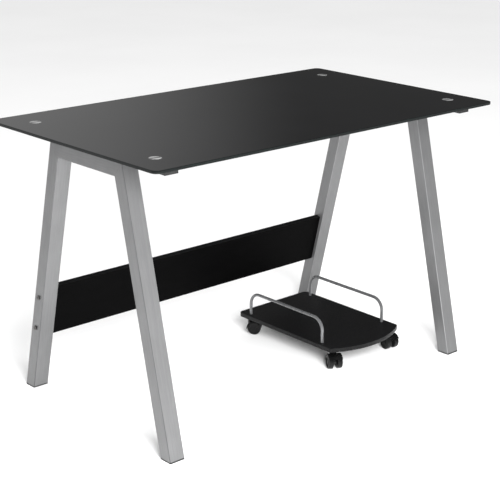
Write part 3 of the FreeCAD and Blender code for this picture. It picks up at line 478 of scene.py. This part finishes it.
def moulded_plastic(name, tone, gloss, grain=2200.0, shine=0.45):
    """Moulded plastic with a fine spark texture and faint handling marks."""
    finish = Finish(name, specular=shine)
    cloud = finish.spread(finish.noise(scale=45.0, detail=5.0))
    finish.feed(finish.blend(cloud, shade(tone, 0.8), shade(tone, 1.5)), "Base Color")
    marks = finish.noise(scale=180.0, detail=4.0, seed=5.0)
    finish.feed(finish.spread(marks, gloss - 0.07, gloss + 0.09), "Roughness")
    finish.relief(finish.noise(scale=grain, detail=1.0), depth=0.03 * MM, strength=0.5)
    return finish.material


def faced_board(name, tone, gloss, shine):
    """Black faced board: faint streaks, a pebbled face and pressed pores."""
    finish = Finish(name, specular=shine)
    streak = finish.spread(finish.noise(scale=60.0, detail=4.0, stretch=(0.25, 1.0, 1.0)))
    base = finish.blend(streak, shade(tone, 0.85), shade(tone, 1.15))
    pores = finish.noise(scale=900.0, detail=3.0, stretch=(0.3, 1.0, 1.0), seed=7.0)
    pores = finish.spread(pores, start=0.55, stop=0.75)
    finish.feed(finish.blend(pores, base, shade(tone, 2.4)), "Base Color")
    sheen = finish.noise(scale=240.0, detail=4.0, seed=2.0)
    finish.feed(finish.spread(sheen, gloss - 0.05, gloss + 0.08), "Roughness")
    pebble = finish.relief(finish.cells(scale=420.0), depth=0.12 * MM, strength=0.5)
    finish.relief(pores, depth=0.04 * MM, strength=0.6, under=pebble)
    return finish.material


def plated_steel(name, tone, gloss):
    """Plated steel: bright, slightly blotchy, with fine scratches."""
    finish = Finish(name, metallic=1.0)
    bloom = finish.spread(finish.noise(scale=140.0, detail=4.0))
    finish.feed(finish.blend(bloom, shade(tone, 0.82), shade(tone, 1.1)), "Base Color")
    wear = finish.noise(scale=600.0, detail=4.0, stretch=(1.0, 6.0, 1.0))
    finish.feed(finish.spread(wear, gloss - 0.08, gloss + 0.12), "Roughness")
    scratches = finish.noise(scale=900.0, detail=3.0, stretch=(1.0, 8.0, 1.0), seed=4.0)
    finish.relief(scratches, depth=0.02 * MM, strength=0.5)
    return finish.material


def pale_floor(name, tone):
    """Matt paper floor with a very slight tooth."""
    finish = Finish(name, roughness=0.9, specular=0.1)
    cloud = finish.spread(finish.noise(scale=1.2, detail=3.0))
    finish.feed(finish.blend(cloud, shade(tone, 0.99), shade(tone, 1.01)), "Base Color")
    finish.relief(finish.noise(scale=500.0), depth=0.05 * MM, strength=0.2)
    return finish.material


# ---------------------------------------------------------------- modelling helpers

def add_block(bm, low, high):
    """A block between two corners."""
    verts = bmesh.ops.create_cube(bm, size=1.0)["verts"]
    bmesh.ops.scale(bm, vec=Vector(high) - Vector(low), verts=verts)
    bmesh.ops.translate(bm, vec=(Vector(low) + Vector(high)) / 2, verts=verts)
    return verts


def round_off(bm, edges, radius, segments):
    """Rounds edges."""
    return bmesh.ops.bevel(bm, geom=edges, offset=radius, offset_type="OFFSET", affect="EDGES",
                           segments=segments, profile=0.5, material=-1, clamp_overlap=True)


def edges_along(bm, direction, faces_apart=20.0):
    """Sharp edges that run along a direction."""
    return [edge for edge in bm.edges
            if len(edge.link_faces) == 2
            and edge.calc_face_angle(0.0) > math.radians(faces_apart)
            and abs((edge.verts[1].co - edge.verts[0].co).normalized().dot(direction)) > 0.999]


def sharp_edges(bm, faces_apart=60.0, keep=lambda edge: True):
    """Edges between faces that meet at a corner."""
    return [edge for edge in bm.edges
            if len(edge.link_faces) == 2
            and edge.calc_face_angle(0.0) > math.radians(faces_apart) and keep(edge)]


def at_height(height):
    """Picks edges that lie at a height."""
    return lambda edge: all(abs(vert.co.z - height) < SAME_PLACE for vert in edge.verts)


def corners_of(items):
    """The vertices of some edges or faces, each once."""
    return list(dict.fromkeys(vert for item in items for vert in item.verts))


def add_outline(bm, points):
    """Vertices joined by edges, one after the other, and the last to the first."""
    verts = [bm.verts.new(point) for point in points]
    return [bm.edges.new((verts[i - 1], verts[i])) for i in range(len(verts))]


def push(bm, faces, shift):
    """Extrudes faces into a solid and moves the new end."""
    result = bmesh.ops.extrude_face_region(bm, geom=faces)
    moved = [item for item in result["geom"] if isinstance(item, bmesh.types.BMVert)]
    bmesh.ops.translate(bm, vec=shift, verts=moved)
    return moved


def grow(bm, edges, shift):
    """Extrudes a ring of edges by a step and returns the new ring."""
    result = bmesh.ops.extrude_edge_only(bm, edges=edges)
    verts = [item for item in result["geom"] if isinstance(item, bmesh.types.BMVert)]
    bmesh.ops.translate(bm, vec=shift, verts=verts)
    return [item for item in result["geom"]
            if isinstance(item, bmesh.types.BMEdge) and all(vert in verts for vert in item.verts)]


def turn(bm, edges, centre, axis, angle, steps):
    """Spins a ring of edges round an axis and returns the last ring."""
    result = bmesh.ops.spin(bm, geom=corners_of(edges) + edges, cent=centre, axis=axis, angle=angle,
                            steps=steps, use_duplicate=False)
    return [item for item in result["geom_last"] if isinstance(item, bmesh.types.BMEdge)]


def give_edges_second_finish(bm, axis):
    """Gives the faces that don't look along an axis the piece's second finish."""
    for face in bm.faces:
        if abs(getattr(face.normal, axis)) < 0.9:
            face.material_index = 1


def add_piece(name, bm, finishes, body, stands_for=(), crease=38.0):
    """Makes a finished piece of a mesh and ties it to its body."""
    mesh = bpy.data.meshes.new(name)
    bm.to_mesh(mesh)
    bm.free()
    mesh.shade_smooth()
    mesh.set_sharp_from_angle(angle=math.radians(crease))
    piece = bpy.data.objects.new(name, mesh)
    bpy.context.scene.collection.objects.link(piece)
    for finish in finishes:
        mesh.materials.append(finish)
    even = piece.modifiers.new("Even shading", "WEIGHTED_NORMAL")
    even.keep_sharp = True
    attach(piece, body)
    if stands_for:
        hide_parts(*stands_for)
    return piece


def finish_nodes(names, material):
    """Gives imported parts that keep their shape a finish."""
    for name in names:
        node = frame["nodes"][name]
        if not node.material_slots:
            node.data.materials.append(material)
        for slot in node.material_slots:
            slot.material = material


def leg_lines():
    """Lines of a side frame, seen from its side, that its faces and its finish follow."""
    rail_low, rail_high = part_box("top_rail_left")
    leg_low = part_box("leg_front_left")[0]
    slope = (-leg_low.y - rail_high.y) / (rail_high.z - leg_low.z)
    foot = rail_high.y + slope * rail_high.z
    across = (rail_high.z - rail_low.z) * math.hypot(1.0, slope)
    return {
        "slope": slope,
        "foot": foot,
        "across": across,
        "rail_low": rail_low.z,
        "rail_high": rail_high.z,
        "rail_half": rail_high.y,
        "inner": foot - slope * rail_low.z - across,
    }


class PieceOperator(bpy.types.Operator):
    """Base of the operators that build a piece."""
    bl_options = {"REGISTER", "UNDO"}


# ---------------------------------------------------------------- desk

class DESK_OT_glass(PieceOperator):
    """Glass top with rounded corners, a ground edge and four clear spots"""
    bl_idname = "desk.glass"
    bl_label = "Glass top"

    def execute(self, context):
        sizes = context.scene.glass_sizes
        low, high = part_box("glass_top")
        bm = bmesh.new()
        add_block(bm, low, high)
        round_off(bm, edges_along(bm, UP), sizes.corner, sizes.corner_steps)
        for height in (low.z, high.z):
            round_off(bm, sharp_edges(bm, keep=at_height(height)), sizes.arris, 2)
        give_edges_second_finish(bm, "z")
        middle = sum(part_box("glass_disc_rear_right"), Vector()) / 2
        face = black_glass("Black glass", sizes, middle.x, middle.y)
        add_piece("glass_plate", bm, [face, glass_edge("Glass edge", sizes.tint)],
                  "desk_frame", ["glass_top"])
        disc = plated_steel("Turned disc", sizes.metal, 0.3)
        finish_nodes([f"glass_disc_{corner}" for corner in CORNERS], disc)
        return {"FINISHED"}


class DESK_OT_bars(PieceOperator):
    """Two black bars under the glass, with plastic ends"""
    bl_idname = "desk.bars"
    bl_label = "Support bars"

    def execute(self, context):
        sizes = context.scene.frame_sizes
        paint = painted_metal("Black bar paint", sizes.dark, 0.42, 0.0)
        plastic = moulded_plastic("Bar end plastic", sizes.plastic, 0.5)
        for side in SIDES:
            low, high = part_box(f"support_bar_{side}")
            bm = bmesh.new()
            add_block(bm, low, high)
            round_off(bm, edges_along(bm, Vector((0, 1, 0))), sizes.bar_edge, 4)
            add_piece(f"bar_{side}", bm, [paint], "desk_frame",
                      [f"support_bar_{side}"])
            for end, sign in ENDS.items():
                self.end_piece(f"{end}_{side}", sign, low, high, sizes, plastic)
        return {"FINISHED"}

    def end_piece(self, where, sign, low, high, sizes, plastic):
        node = f"bar_end_{where}"
        end_low, end_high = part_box(node)
        near, far = (end_low.y, low.y) if sign < 0 else (high.y, end_high.y)
        bm = bmesh.new()
        add_block(bm, (low.x, near, low.z), (high.x, far, high.z))
        show = [face for face in bm.faces if face.normal.y * sign > 0.9]
        bmesh.ops.inset_region(bm, faces=show, thickness=sizes.cap_rim, depth=0.0)
        bmesh.ops.translate(bm, vec=(0, -sign * sizes.cap_recess, 0), verts=corners_of(show))
        round_off(bm, sharp_edges(bm, 50.0), 0.35 * MM, 3)
        add_piece(f"bar_cap_{where}", bm, [plastic], "desk_frame", [node])


class DESK_OT_frames(PieceOperator):
    """Two welded side frames: leaning legs and the rail that joins them"""
    bl_idname = "desk.frames"
    bl_label = "Side frames"

    def execute(self, context):
        sizes = context.scene.frame_sizes
        lines = leg_lines()
        paint = brushed_paint("Silver paint", sizes.paint, gloss=0.36, metallic=0.45, lines=lines)
        for side in SIDES:
            low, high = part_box(f"leg_front_{side}")
            self.frame_piece(side, low, high, lines, sizes, paint)
            self.weld_beads(side, low, high, lines, sizes, paint)
        return {"FINISHED"}

    def frame_piece(self, side, low, high, lines, sizes, paint):
        bottom = lines["foot"] - lines["slope"] * low.z
        inner_top = (lines["inner"], lines["rail_low"])
        outer_top = (lines["rail_half"], lines["rail_high"])
        leg = [(bottom, low.z), outer_top, inner_top, (bottom - lines["across"], low.z)]
        rail = [outer_top, (-outer_top[0], outer_top[1]), (-inner_top[0], inner_top[1]), inner_top]
        bm = bmesh.new()
        for shape in (leg, [(-y, z) for y, z in leg], rail):
            corners = [bm.verts.new((low.x, y, z)) for y, z in shape]
            bmesh.ops.contextual_create(bm, geom=corners)
        bmesh.ops.remove_doubles(bm, verts=bm.verts, dist=0.01 * MM)
        push(bm, list(bm.faces), (high.x - low.x, 0, 0))
        bmesh.ops.recalc_face_normals(bm, faces=bm.faces)
        long_edges = [edge for edge in sharp_edges(bm, 5.0)
                      if not at_height(low.z)(edge)
                      and abs(edge.verts[0].co.x - edge.verts[1].co.x) < SAME_PLACE]
        round_off(bm, long_edges, sizes.edge, 5)
        add_piece(f"side_frame_{side}", bm, [paint], "desk_frame",
                  [f"leg_front_{side}", f"leg_rear_{side}", f"top_rail_{side}"], crease=44.0)

    def weld_beads(self, side, low, high, lines, sizes, paint):
        step = (high.x - low.x - 2 * sizes.edge) / sizes.ripples
        swell = 1.12
        bm = bmesh.new()
        for sign in ENDS.values():
            corner = Vector((0, sign * lines["inner"], lines["rail_low"]))
            start = Matrix.Translation(corner + Vector((low.x + sizes.edge, 0, 0)))
            ring = bmesh.ops.create_circle(bm, cap_ends=True, radius=sizes.weld, segments=12,
                                           matrix=start @ Matrix.Rotation(QUARTER_TURN, 4, "Y"))
            edges = list(dict.fromkeys(edge for vert in ring["verts"] for edge in vert.link_edges))
            for ripple in range(sizes.ripples):
                edges = grow(bm, edges, (step, 0, 0))
                share = swell if ripple % 2 else 1 / swell
                bmesh.ops.scale(bm, vec=(1, share, share), verts=corners_of(edges),
                                space=Matrix.Translation(-corner))
            bmesh.ops.contextual_create(bm, geom=edges)
        bmesh.ops.recalc_face_normals(bm, faces=bm.faces)
        add_piece(f"welds_{side}", bm, [paint], "desk_frame")


class DESK_OT_feet(PieceOperator):
    """Thin black feet that close the tubes"""
    bl_idname = "desk.feet"
    bl_label = "Feet"

    def execute(self, context):
        sizes = context.scene.frame_sizes
        plastic = moulded_plastic("Foot plastic", sizes.plastic, 0.55)
        lines = leg_lines()
        for side in SIDES:
            leg_low, leg_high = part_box(f"leg_front_{side}")
            for end, sign in ENDS.items():
                bm = bmesh.new()
                verts = add_block(bm, (leg_low.x, lines["foot"] - lines["across"], 0.0),
                                  (leg_high.x, lines["foot"], leg_low.z))
                for vert in verts:
                    vert.co.y = sign * (vert.co.y - lines["slope"] * vert.co.z)
                bmesh.ops.recalc_face_normals(bm, faces=bm.faces)
                leaning = [edge for edge in sharp_edges(bm)
                           if not at_height(0.0)(edge) and not at_height(leg_low.z)(edge)]
                round_off(bm, leaning, sizes.edge, 5)
                sole = [face for face in bm.faces if face.normal.z < -0.99]
                bmesh.ops.inset_region(bm, faces=sole, thickness=sizes.sole_rim, depth=0.0)
                bmesh.ops.translate(bm, vec=(0, 0, sizes.sole_recess), verts=corners_of(sole))
                round_off(bm, sharp_edges(bm, 50.0, at_height(0.0)), 0.4 * MM, 2)
                add_piece(f"foot_{end}_{side}", bm, [plastic], "desk_frame",
                          [f"foot_cap_{end}_{side}"])
        return {"FINISHED"}


class DESK_OT_panel(PieceOperator):
    """Black modesty panel between the rear legs, with banded edges"""
    bl_idname = "desk.panel"
    bl_label = "Modesty panel"

    def execute(self, context):
        sizes = context.scene.board_sizes
        low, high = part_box("modesty_panel")
        tilt = math.atan(leg_lines()["slope"])
        wide, deep, tall = high - low
        spread = math.cos(tilt) ** 2 - math.sin(tilt) ** 2
        run = (tall * math.cos(tilt) - deep * math.sin(tilt)) / spread
        thick = (deep * math.cos(tilt) - tall * math.sin(tilt)) / spread
        bm = bmesh.new()
        add_block(bm, (-wide / 2, -thick / 2, -run / 2), (wide / 2, thick / 2, run / 2))
        round_off(bm, sharp_edges(bm), sizes.panel_edge, 3)
        give_edges_second_finish(bm, "y")
        place = Matrix.Translation((low + high) / 2) @ Matrix.Rotation(tilt, 4, "X")
        bmesh.ops.transform(bm, matrix=place, verts=bm.verts)
        face = faced_board("Black board", shade(sizes.face, 0.6), gloss=0.55, shine=0.03)
        band = moulded_plastic("Edge band", sizes.band, gloss=0.4, grain=1400.0, shine=0.2)
        add_piece("panel_board", bm, [face, band], "desk_frame", ["modesty_panel"])
        return {"FINISHED"}


# ---------------------------------------------------------------- tray

class DESK_OT_tray(PieceOperator):
    """Black tray board with a bowed front and a rounded edge"""
    bl_idname = "desk.tray"
    bl_label = "Tray board"

    def execute(self, context):
        sizes = context.scene.board_sizes
        low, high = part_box("tray_board")
        half, middle = (high.x - low.x) / 2, (high.x + low.x) / 2
        front = low.y + sizes.bow
        radius = (half ** 2 + sizes.bow ** 2) / (2 * sizes.bow)
        spread = math.asin(half / radius)
        bm = bmesh.new()
        start = bm.verts.new((low.x, front, low.z))
        arc = bmesh.ops.spin(bm, geom=[start], cent=(middle, low.y + radius, low.z), axis=UP,
                             angle=2 * spread, steps=sizes.bow_steps, use_duplicate=False)
        stop = next(item for item in arc["geom_last"] if isinstance(item, bmesh.types.BMVert))
        back_left = bm.verts.new((low.x, high.y, low.z))
        back_right = bm.verts.new((high.x, high.y, low.z))
        for pair in ((stop, back_right), (back_right, back_left), (back_left, start)):
            bm.edges.new(pair)
        bmesh.ops.contextual_create(bm, geom=list(bm.edges))
        push(bm, list(bm.faces), (0, 0, high.z - low.z))
        bmesh.ops.recalc_face_normals(bm, faces=bm.faces)
        upright = edges_along(bm, UP, 30.0)
        rear = [edge for edge in upright if edge.verts[0].co.y > 0]
        ahead = [edge for edge in upright if edge.verts[0].co.y < 0]
        round_off(bm, rear, sizes.rear_corner, 10)
        round_off(bm, ahead, sizes.front_corner, 12)
        for height in (low.z, high.z):
            round_off(bm, sharp_edges(bm, keep=at_height(height)), sizes.tray_edge, 4)
        give_edges_second_finish(bm, "z")
        face = faced_board("Tray face", shade(sizes.face, 2.6), gloss=0.42, shine=0.2)
        band = moulded_plastic("Tray edge", sizes.band, gloss=0.32, grain=1400.0, shine=0.2)
        add_piece("tray_plate", bm, [face, band], "tray", ["tray_board"])
        return {"FINISHED"}


class DESK_OT_guards(PieceOperator):
    """Two bent rods that stand on the tray"""
    bl_idname = "desk.guards"
    bl_label = "Guards"

    def execute(self, context):
        sizes = context.scene.guard_sizes
        paint = painted_metal("Guard paint", sizes.paint, gloss=0.28, metallic=0.5, coat=0.3,
                              peel=0.25)
        for side in SIDES:
            node = f"tray_guard_{side}"
            low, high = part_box(node)
            rod, middle = (high.x - low.x) / 2, (high.x + low.x) / 2
            front, rear = low.y + rod, high.y - rod
            shoulder = high.z - rod - sizes.bend
            bm = bmesh.new()
            bmesh.ops.create_circle(bm, cap_ends=True, radius=rod, segments=sizes.sides,
                                    matrix=Matrix.Translation((middle, front, low.z)))
            ring = grow(bm, list(bm.edges), (0, 0, shoulder - low.z))
            ring = turn(bm, ring, (middle, front + sizes.bend, shoulder), (-1, 0, 0),
                        QUARTER_TURN, sizes.bend_steps)
            ring = grow(bm, ring, (0, rear - front - 2 * sizes.bend, 0))
            ring = turn(bm, ring, (middle, rear - sizes.bend, shoulder), (-1, 0, 0),
                        QUARTER_TURN, sizes.bend_steps)
            ring = grow(bm, ring, (0, 0, low.z - shoulder))
            bmesh.ops.contextual_create(bm, geom=ring)
            bmesh.ops.remove_doubles(bm, verts=bm.verts, dist=SAME_PLACE)
            bmesh.ops.recalc_face_normals(bm, faces=bm.faces)
            add_piece(f"guard_{side}", bm, [paint], "tray", [node])
        return {"FINISHED"}


class DESK_OT_casters(PieceOperator):
    """Hooded yokes of the four casters"""
    bl_idname = "desk.casters"
    bl_label = "Caster hoods"

    def execute(self, context):
        sizes = context.scene.caster_sizes
        nylon = moulded_plastic("Hood nylon", sizes.hood, gloss=0.24, grain=1800.0, shine=0.3)
        for where in CORNERS:
            node = f"caster_yoke_{where}"
            bm = bmesh.new()
            bm.from_mesh(frame["nodes"][node].data)
            bmesh.ops.remove_doubles(bm, verts=bm.verts, dist=2 * SAME_PLACE)
            bmesh.ops.dissolve_limit(bm, angle_limit=math.radians(0.5), verts=bm.verts,
                                     edges=bm.edges)
            for face in bm.faces:
                face.material_index = 0
            add_piece(f"hood_{where}", bm, [nylon], f"caster_{where}", [node],
                      crease=32.0)
        return {"FINISHED"}


class DESK_OT_wheels(PieceOperator):
    """Twin wheels with rounded tread, dished face and ribs"""
    bl_idname = "desk.wheels"
    bl_label = "Caster wheels"

    def execute(self, context):
        sizes = context.scene.caster_sizes
        nylon = moulded_plastic("Wheel nylon", sizes.wheel, gloss=0.36, grain=1500.0, shine=0.25)
        for where in CORNERS:
            swivel = Vector(JOINTS[f"swivel_{where}"]["pos_m"])
            for side, sign in SIDES.items():
                joint = JOINTS[f"spin_{where}_{side}"]
                self.wheel_piece(where, side, sign, joint, swivel, sizes, nylon)
        return {"FINISHED"}

    def wheel_piece(self, where, side, sign, joint, swivel, sizes, nylon):
        axle = Vector(joint["pos_m"])
        axis = Vector(joint["axis"])
        node = f"caster_wheel_{where}_{side}"
        reach = [abs((vert.co - axle).dot(axis)) for vert in frame["nodes"][node].data.vertices]
        inner, outer = min(reach), max(reach)
        floor = outer - sizes.depth
        bm = bmesh.new()
        profile = self.half_section(inner, outer, floor, axle.z, sizes)
        edges = add_outline(bm, [(sign * x, 0.0, r) for x, r in profile])
        bmesh.ops.spin(bm, geom=corners_of(edges) + edges, cent=(0, 0, 0), axis=(1, 0, 0),
                       angle=FULL_TURN, steps=sizes.steps, use_merge=True, use_duplicate=False)
        bmesh.ops.remove_doubles(bm, verts=bm.verts, dist=SAME_PLACE)
        bmesh.ops.recalc_face_normals(bm, faces=bm.faces)
        self.add_ribs(bm, sign, floor, sizes)
        turned = Matrix((axis, axis.cross(Vector((0, 0, -1))), (0, 0, 1))).transposed().to_4x4()
        bmesh.ops.transform(bm, matrix=Matrix.Translation(axle) @ turned, verts=bm.verts)
        add_piece(f"wheel_{where}_{side}", bm, [nylon], f"wheel_{where}_{side}",
                  [node], crease=30.0)

    def half_section(self, inner, outer, floor, radius, sizes):
        """Outline of a wheel's section above its axle: bore, dish, rim and rounded tread."""
        bevel = 0.5 * MM
        profile = [(inner, sizes.bore), (floor, sizes.bore), (floor, sizes.dish - 1.2 * MM),
                   (floor + 0.5 * MM, sizes.dish - 0.3 * MM), (outer - bevel, sizes.dish),
                   (outer, sizes.dish + bevel), (outer, radius - sizes.shoulder)]
        turns = [QUARTER_TURN * step / 6 for step in range(7)]
        profile += [(outer - sizes.shoulder * (1 - math.cos(turn)),
                     radius - sizes.shoulder * (1 - math.sin(turn))) for turn in turns[1:]]
        profile += [(inner + sizes.shoulder * (1 - math.sin(turn)),
                     radius - sizes.shoulder * (1 - math.cos(turn))) for turn in turns]
        return profile

    def add_ribs(self, bm, sign, floor, sizes):
        """Ribs that stand in the dish, from near the axle to near the rim."""
        near, far = 6.0 * MM, sizes.dish - 1.4 * MM
        sunk, half = 0.2 * MM, sizes.rib_width / 2
        crest = sign * (floor + sizes.rib_height)
        for number in range(sizes.ribs):
            before = set(bm.verts)
            low_x, high_x = sorted((sign * (floor - sunk), crest))
            add_block(bm, (low_x, -half, near), (high_x, half, far))
            top = [edge for edge in bm.edges
                   if all(vert not in before and abs(vert.co.x - crest) < SAME_PLACE
                          for vert in edge.verts)]
            round_off(bm, top, 0.35 * MM, 2)
            made = [vert for vert in bm.verts if vert not in before]
            spin = Matrix.Rotation(FULL_TURN * number / sizes.ribs, 3, "X")
            bmesh.ops.rotate(bm, cent=(0, 0, 0), matrix=spin, verts=made)


class DESK_OT_hardware(PieceOperator):
    """Finishes of the bolts, nuts, screws, plates, pins and axles"""
    bl_idname = "desk.hardware"
    bl_label = "Hardware"

    def execute(self, context):
        sizes = context.scene.hardware_sizes
        zinc = plated_steel("Zinc steel", sizes.zinc, 0.32)
        dark = plated_steel("Blackened steel", sizes.dark, 0.42)
        finish_nodes(["disc_bolts", "frame_bolts", "weld_nuts", "barrel_nuts", "guard_screws",
                      "caster_screws"], zinc)
        finish_nodes(["panel_bolts"], plated_steel("Dull bolt steel", sizes.dull, 0.45))
        for part, metal in (("caster_plate", dark), ("swivel_pin", zinc), ("caster_axle", dark)):
            finish_nodes([f"{part}_{where}" for where in CORNERS], metal)
        return {"FINISHED"}


# ---------------------------------------------------------------- stage

FLOOR_RADIUS = 60.0
KEY_PLACE, KEY_SIZE = (-1.2, -2.4, 1.4), 1.4
OVERHEAD_PLACE, OVERHEAD_SIZE = (0.0, 0.0, 5.0), 4.0
WINDOW_AIM = Vector((0.30, 0.91, 0.30)).normalized()
BRIGHT_SIDE = Vector((0.5, -0.87, 0.0))


class DESK_OT_stage(PieceOperator):
    """Pale floor, soft light all round, two soft lamps and the camera"""
    bl_idname = "desk.stage"
    bl_label = "Stage"

    def execute(self, context):
        scene, sizes = context.scene, context.scene.stage_sizes
        self.add_floor(scene, sizes)
        self.add_sky(scene, sizes)
        self.add_lamp(scene, "Key", KEY_PLACE, KEY_SIZE, sizes.key)
        self.add_lamp(scene, "Overhead", OVERHEAD_PLACE, OVERHEAD_SIZE, sizes.overhead)
        self.add_camera(scene, sizes)
        scene.view_settings.view_transform = "Standard"
        return {"FINISHED"}

    def add_floor(self, scene, sizes):
        bm = bmesh.new()
        bmesh.ops.create_circle(bm, cap_ends=True, radius=FLOOR_RADIUS, segments=96)
        mesh = bpy.data.meshes.new("floor")
        bm.to_mesh(mesh)
        bm.free()
        mesh.materials.append(pale_floor("Floor", sizes.floor))
        floor = bpy.data.objects.new("floor", mesh)
        scene.collection.objects.link(floor)

    def add_sky(self, scene, sizes):
        """Light that is stronger on one side, even to the eye, and dark but for a window in gloss."""
        world = bpy.data.worlds.new("Studio")
        world.use_nodes = True
        nodes, links = world.node_tree.nodes, world.node_tree.links
        view = nodes.new("ShaderNodeTexCoord").outputs["Generated"]
        ray = nodes.new("ShaderNodeLightPath")

        def towards(aim, easing, numbers):
            along = nodes.new("ShaderNodeVectorMath")
            along.operation = "DOT_PRODUCT"
            along.inputs[1].default_value = aim
            links.new(view, along.inputs[0])
            ramp = nodes.new("ShaderNodeMapRange")
            ramp.interpolation_type = easing
            for label, number in zip(("From Min", "From Max", "To Min", "To Max"), numbers):
                ramp.inputs[label].default_value = number
            links.new(along.outputs["Value"], ramp.inputs["Value"])
            return ramp.outputs["Result"]

        sky = towards(BRIGHT_SIDE, "LINEAR", (-1.0, 1.0, sizes.sky * 0.6, sizes.sky * 1.4))
        window = towards(WINDOW_AIM, "SMOOTHSTEP", (0.895, 0.985, sizes.mirror, sizes.window))
        seen, mirrored = nodes.new("ShaderNodeMix"), nodes.new("ShaderNodeMix")
        seen.inputs[3].default_value = sizes.sky
        background = nodes["Background"]
        background.inputs["Color"].default_value = (1.0, 1.0, 1.0, 1.0)
        for source, target in ((ray.outputs["Is Camera Ray"], seen.inputs[0]),
                               (sky, seen.inputs[2]),
                               (ray.outputs["Is Glossy Ray"], mirrored.inputs[0]),
                               (seen.outputs[0], mirrored.inputs[2]),
                               (window, mirrored.inputs[3]),
                               (mirrored.outputs[0], background.inputs["Strength"])):
            links.new(source, target)
        scene.world = world

    def add_lamp(self, scene, name, place, size, power):
        data = bpy.data.lights.new(name, "AREA")
        data.size = size
        data.energy = power
        lamp = bpy.data.objects.new(name, data)
        lamp.location = place
        aim = (CAD_BOX[0] + CAD_BOX[1]) / 2 - Vector(place)
        lamp.rotation_mode = "QUATERNION"
        lamp.rotation_quaternion = aim.to_track_quat("-Z", "Y")
        lamp.visible_glossy = False
        scene.collection.objects.link(lamp)

    def add_camera(self, scene, sizes):
        data = bpy.data.cameras.new("Camera")
        data.lens = sizes.lens
        data.sensor_width = 36.0
        camera = bpy.data.objects.new("Camera", data)
        level = math.cos(sizes.elevation)
        back = Vector((math.sin(sizes.azimuth) * level, -math.cos(sizes.azimuth) * level,
                       math.sin(sizes.elevation)))
        camera.location = sizes.place
        camera.rotation_mode = "QUATERNION"
        aim = (-back).to_track_quat("-Z", "Y")
        camera.rotation_quaternion = aim @ Matrix.Rotation(sizes.roll, 3, "Z").to_quaternion()
        scene.collection.objects.link(camera)
        scene.camera = camera


# ---------------------------------------------------------------- panel and registration

OPERATORS = (DESK_OT_stage, DESK_OT_glass, DESK_OT_bars, DESK_OT_frames, DESK_OT_feet, DESK_OT_panel,
             DESK_OT_tray, DESK_OT_guards, DESK_OT_casters, DESK_OT_wheels, DESK_OT_hardware)


class DESK_PT_build(bpy.types.Panel):
    """Lists the sizes and the build steps"""
    bl_idname = "DESK_PT_build"
    bl_label = "Glass desk"
    bl_space_type = "VIEW_3D"
    bl_region_type = "UI"
    bl_category = "Glass desk"

    def draw(self, context):
        for group, kind in GROUPS.items():
            box = self.layout.box()
            for label in kind.__annotations__:
                box.prop(getattr(context.scene, group), label)
        for operator in OPERATORS:
            self.layout.operator(operator.bl_idname)


def register():
    for group, kind in GROUPS.items():
        bpy.utils.register_class(kind)
        setattr(bpy.types.Scene, group, PointerProperty(type=kind))
    for kind in (*OPERATORS, DESK_PT_build):
        bpy.utils.register_class(kind)


def unregister():
    for kind in reversed((*OPERATORS, DESK_PT_build)):
        bpy.utils.unregister_class(kind)
    for group, kind in reversed(GROUPS.items()):
        delattr(bpy.types.Scene, group)
        bpy.utils.unregister_class(kind)


def main():
    register()
    for operator in OPERATORS:
        group, label = operator.bl_idname.split(".")
        getattr(getattr(bpy.ops, group), label)()


if __name__ == "__main__":
    main()
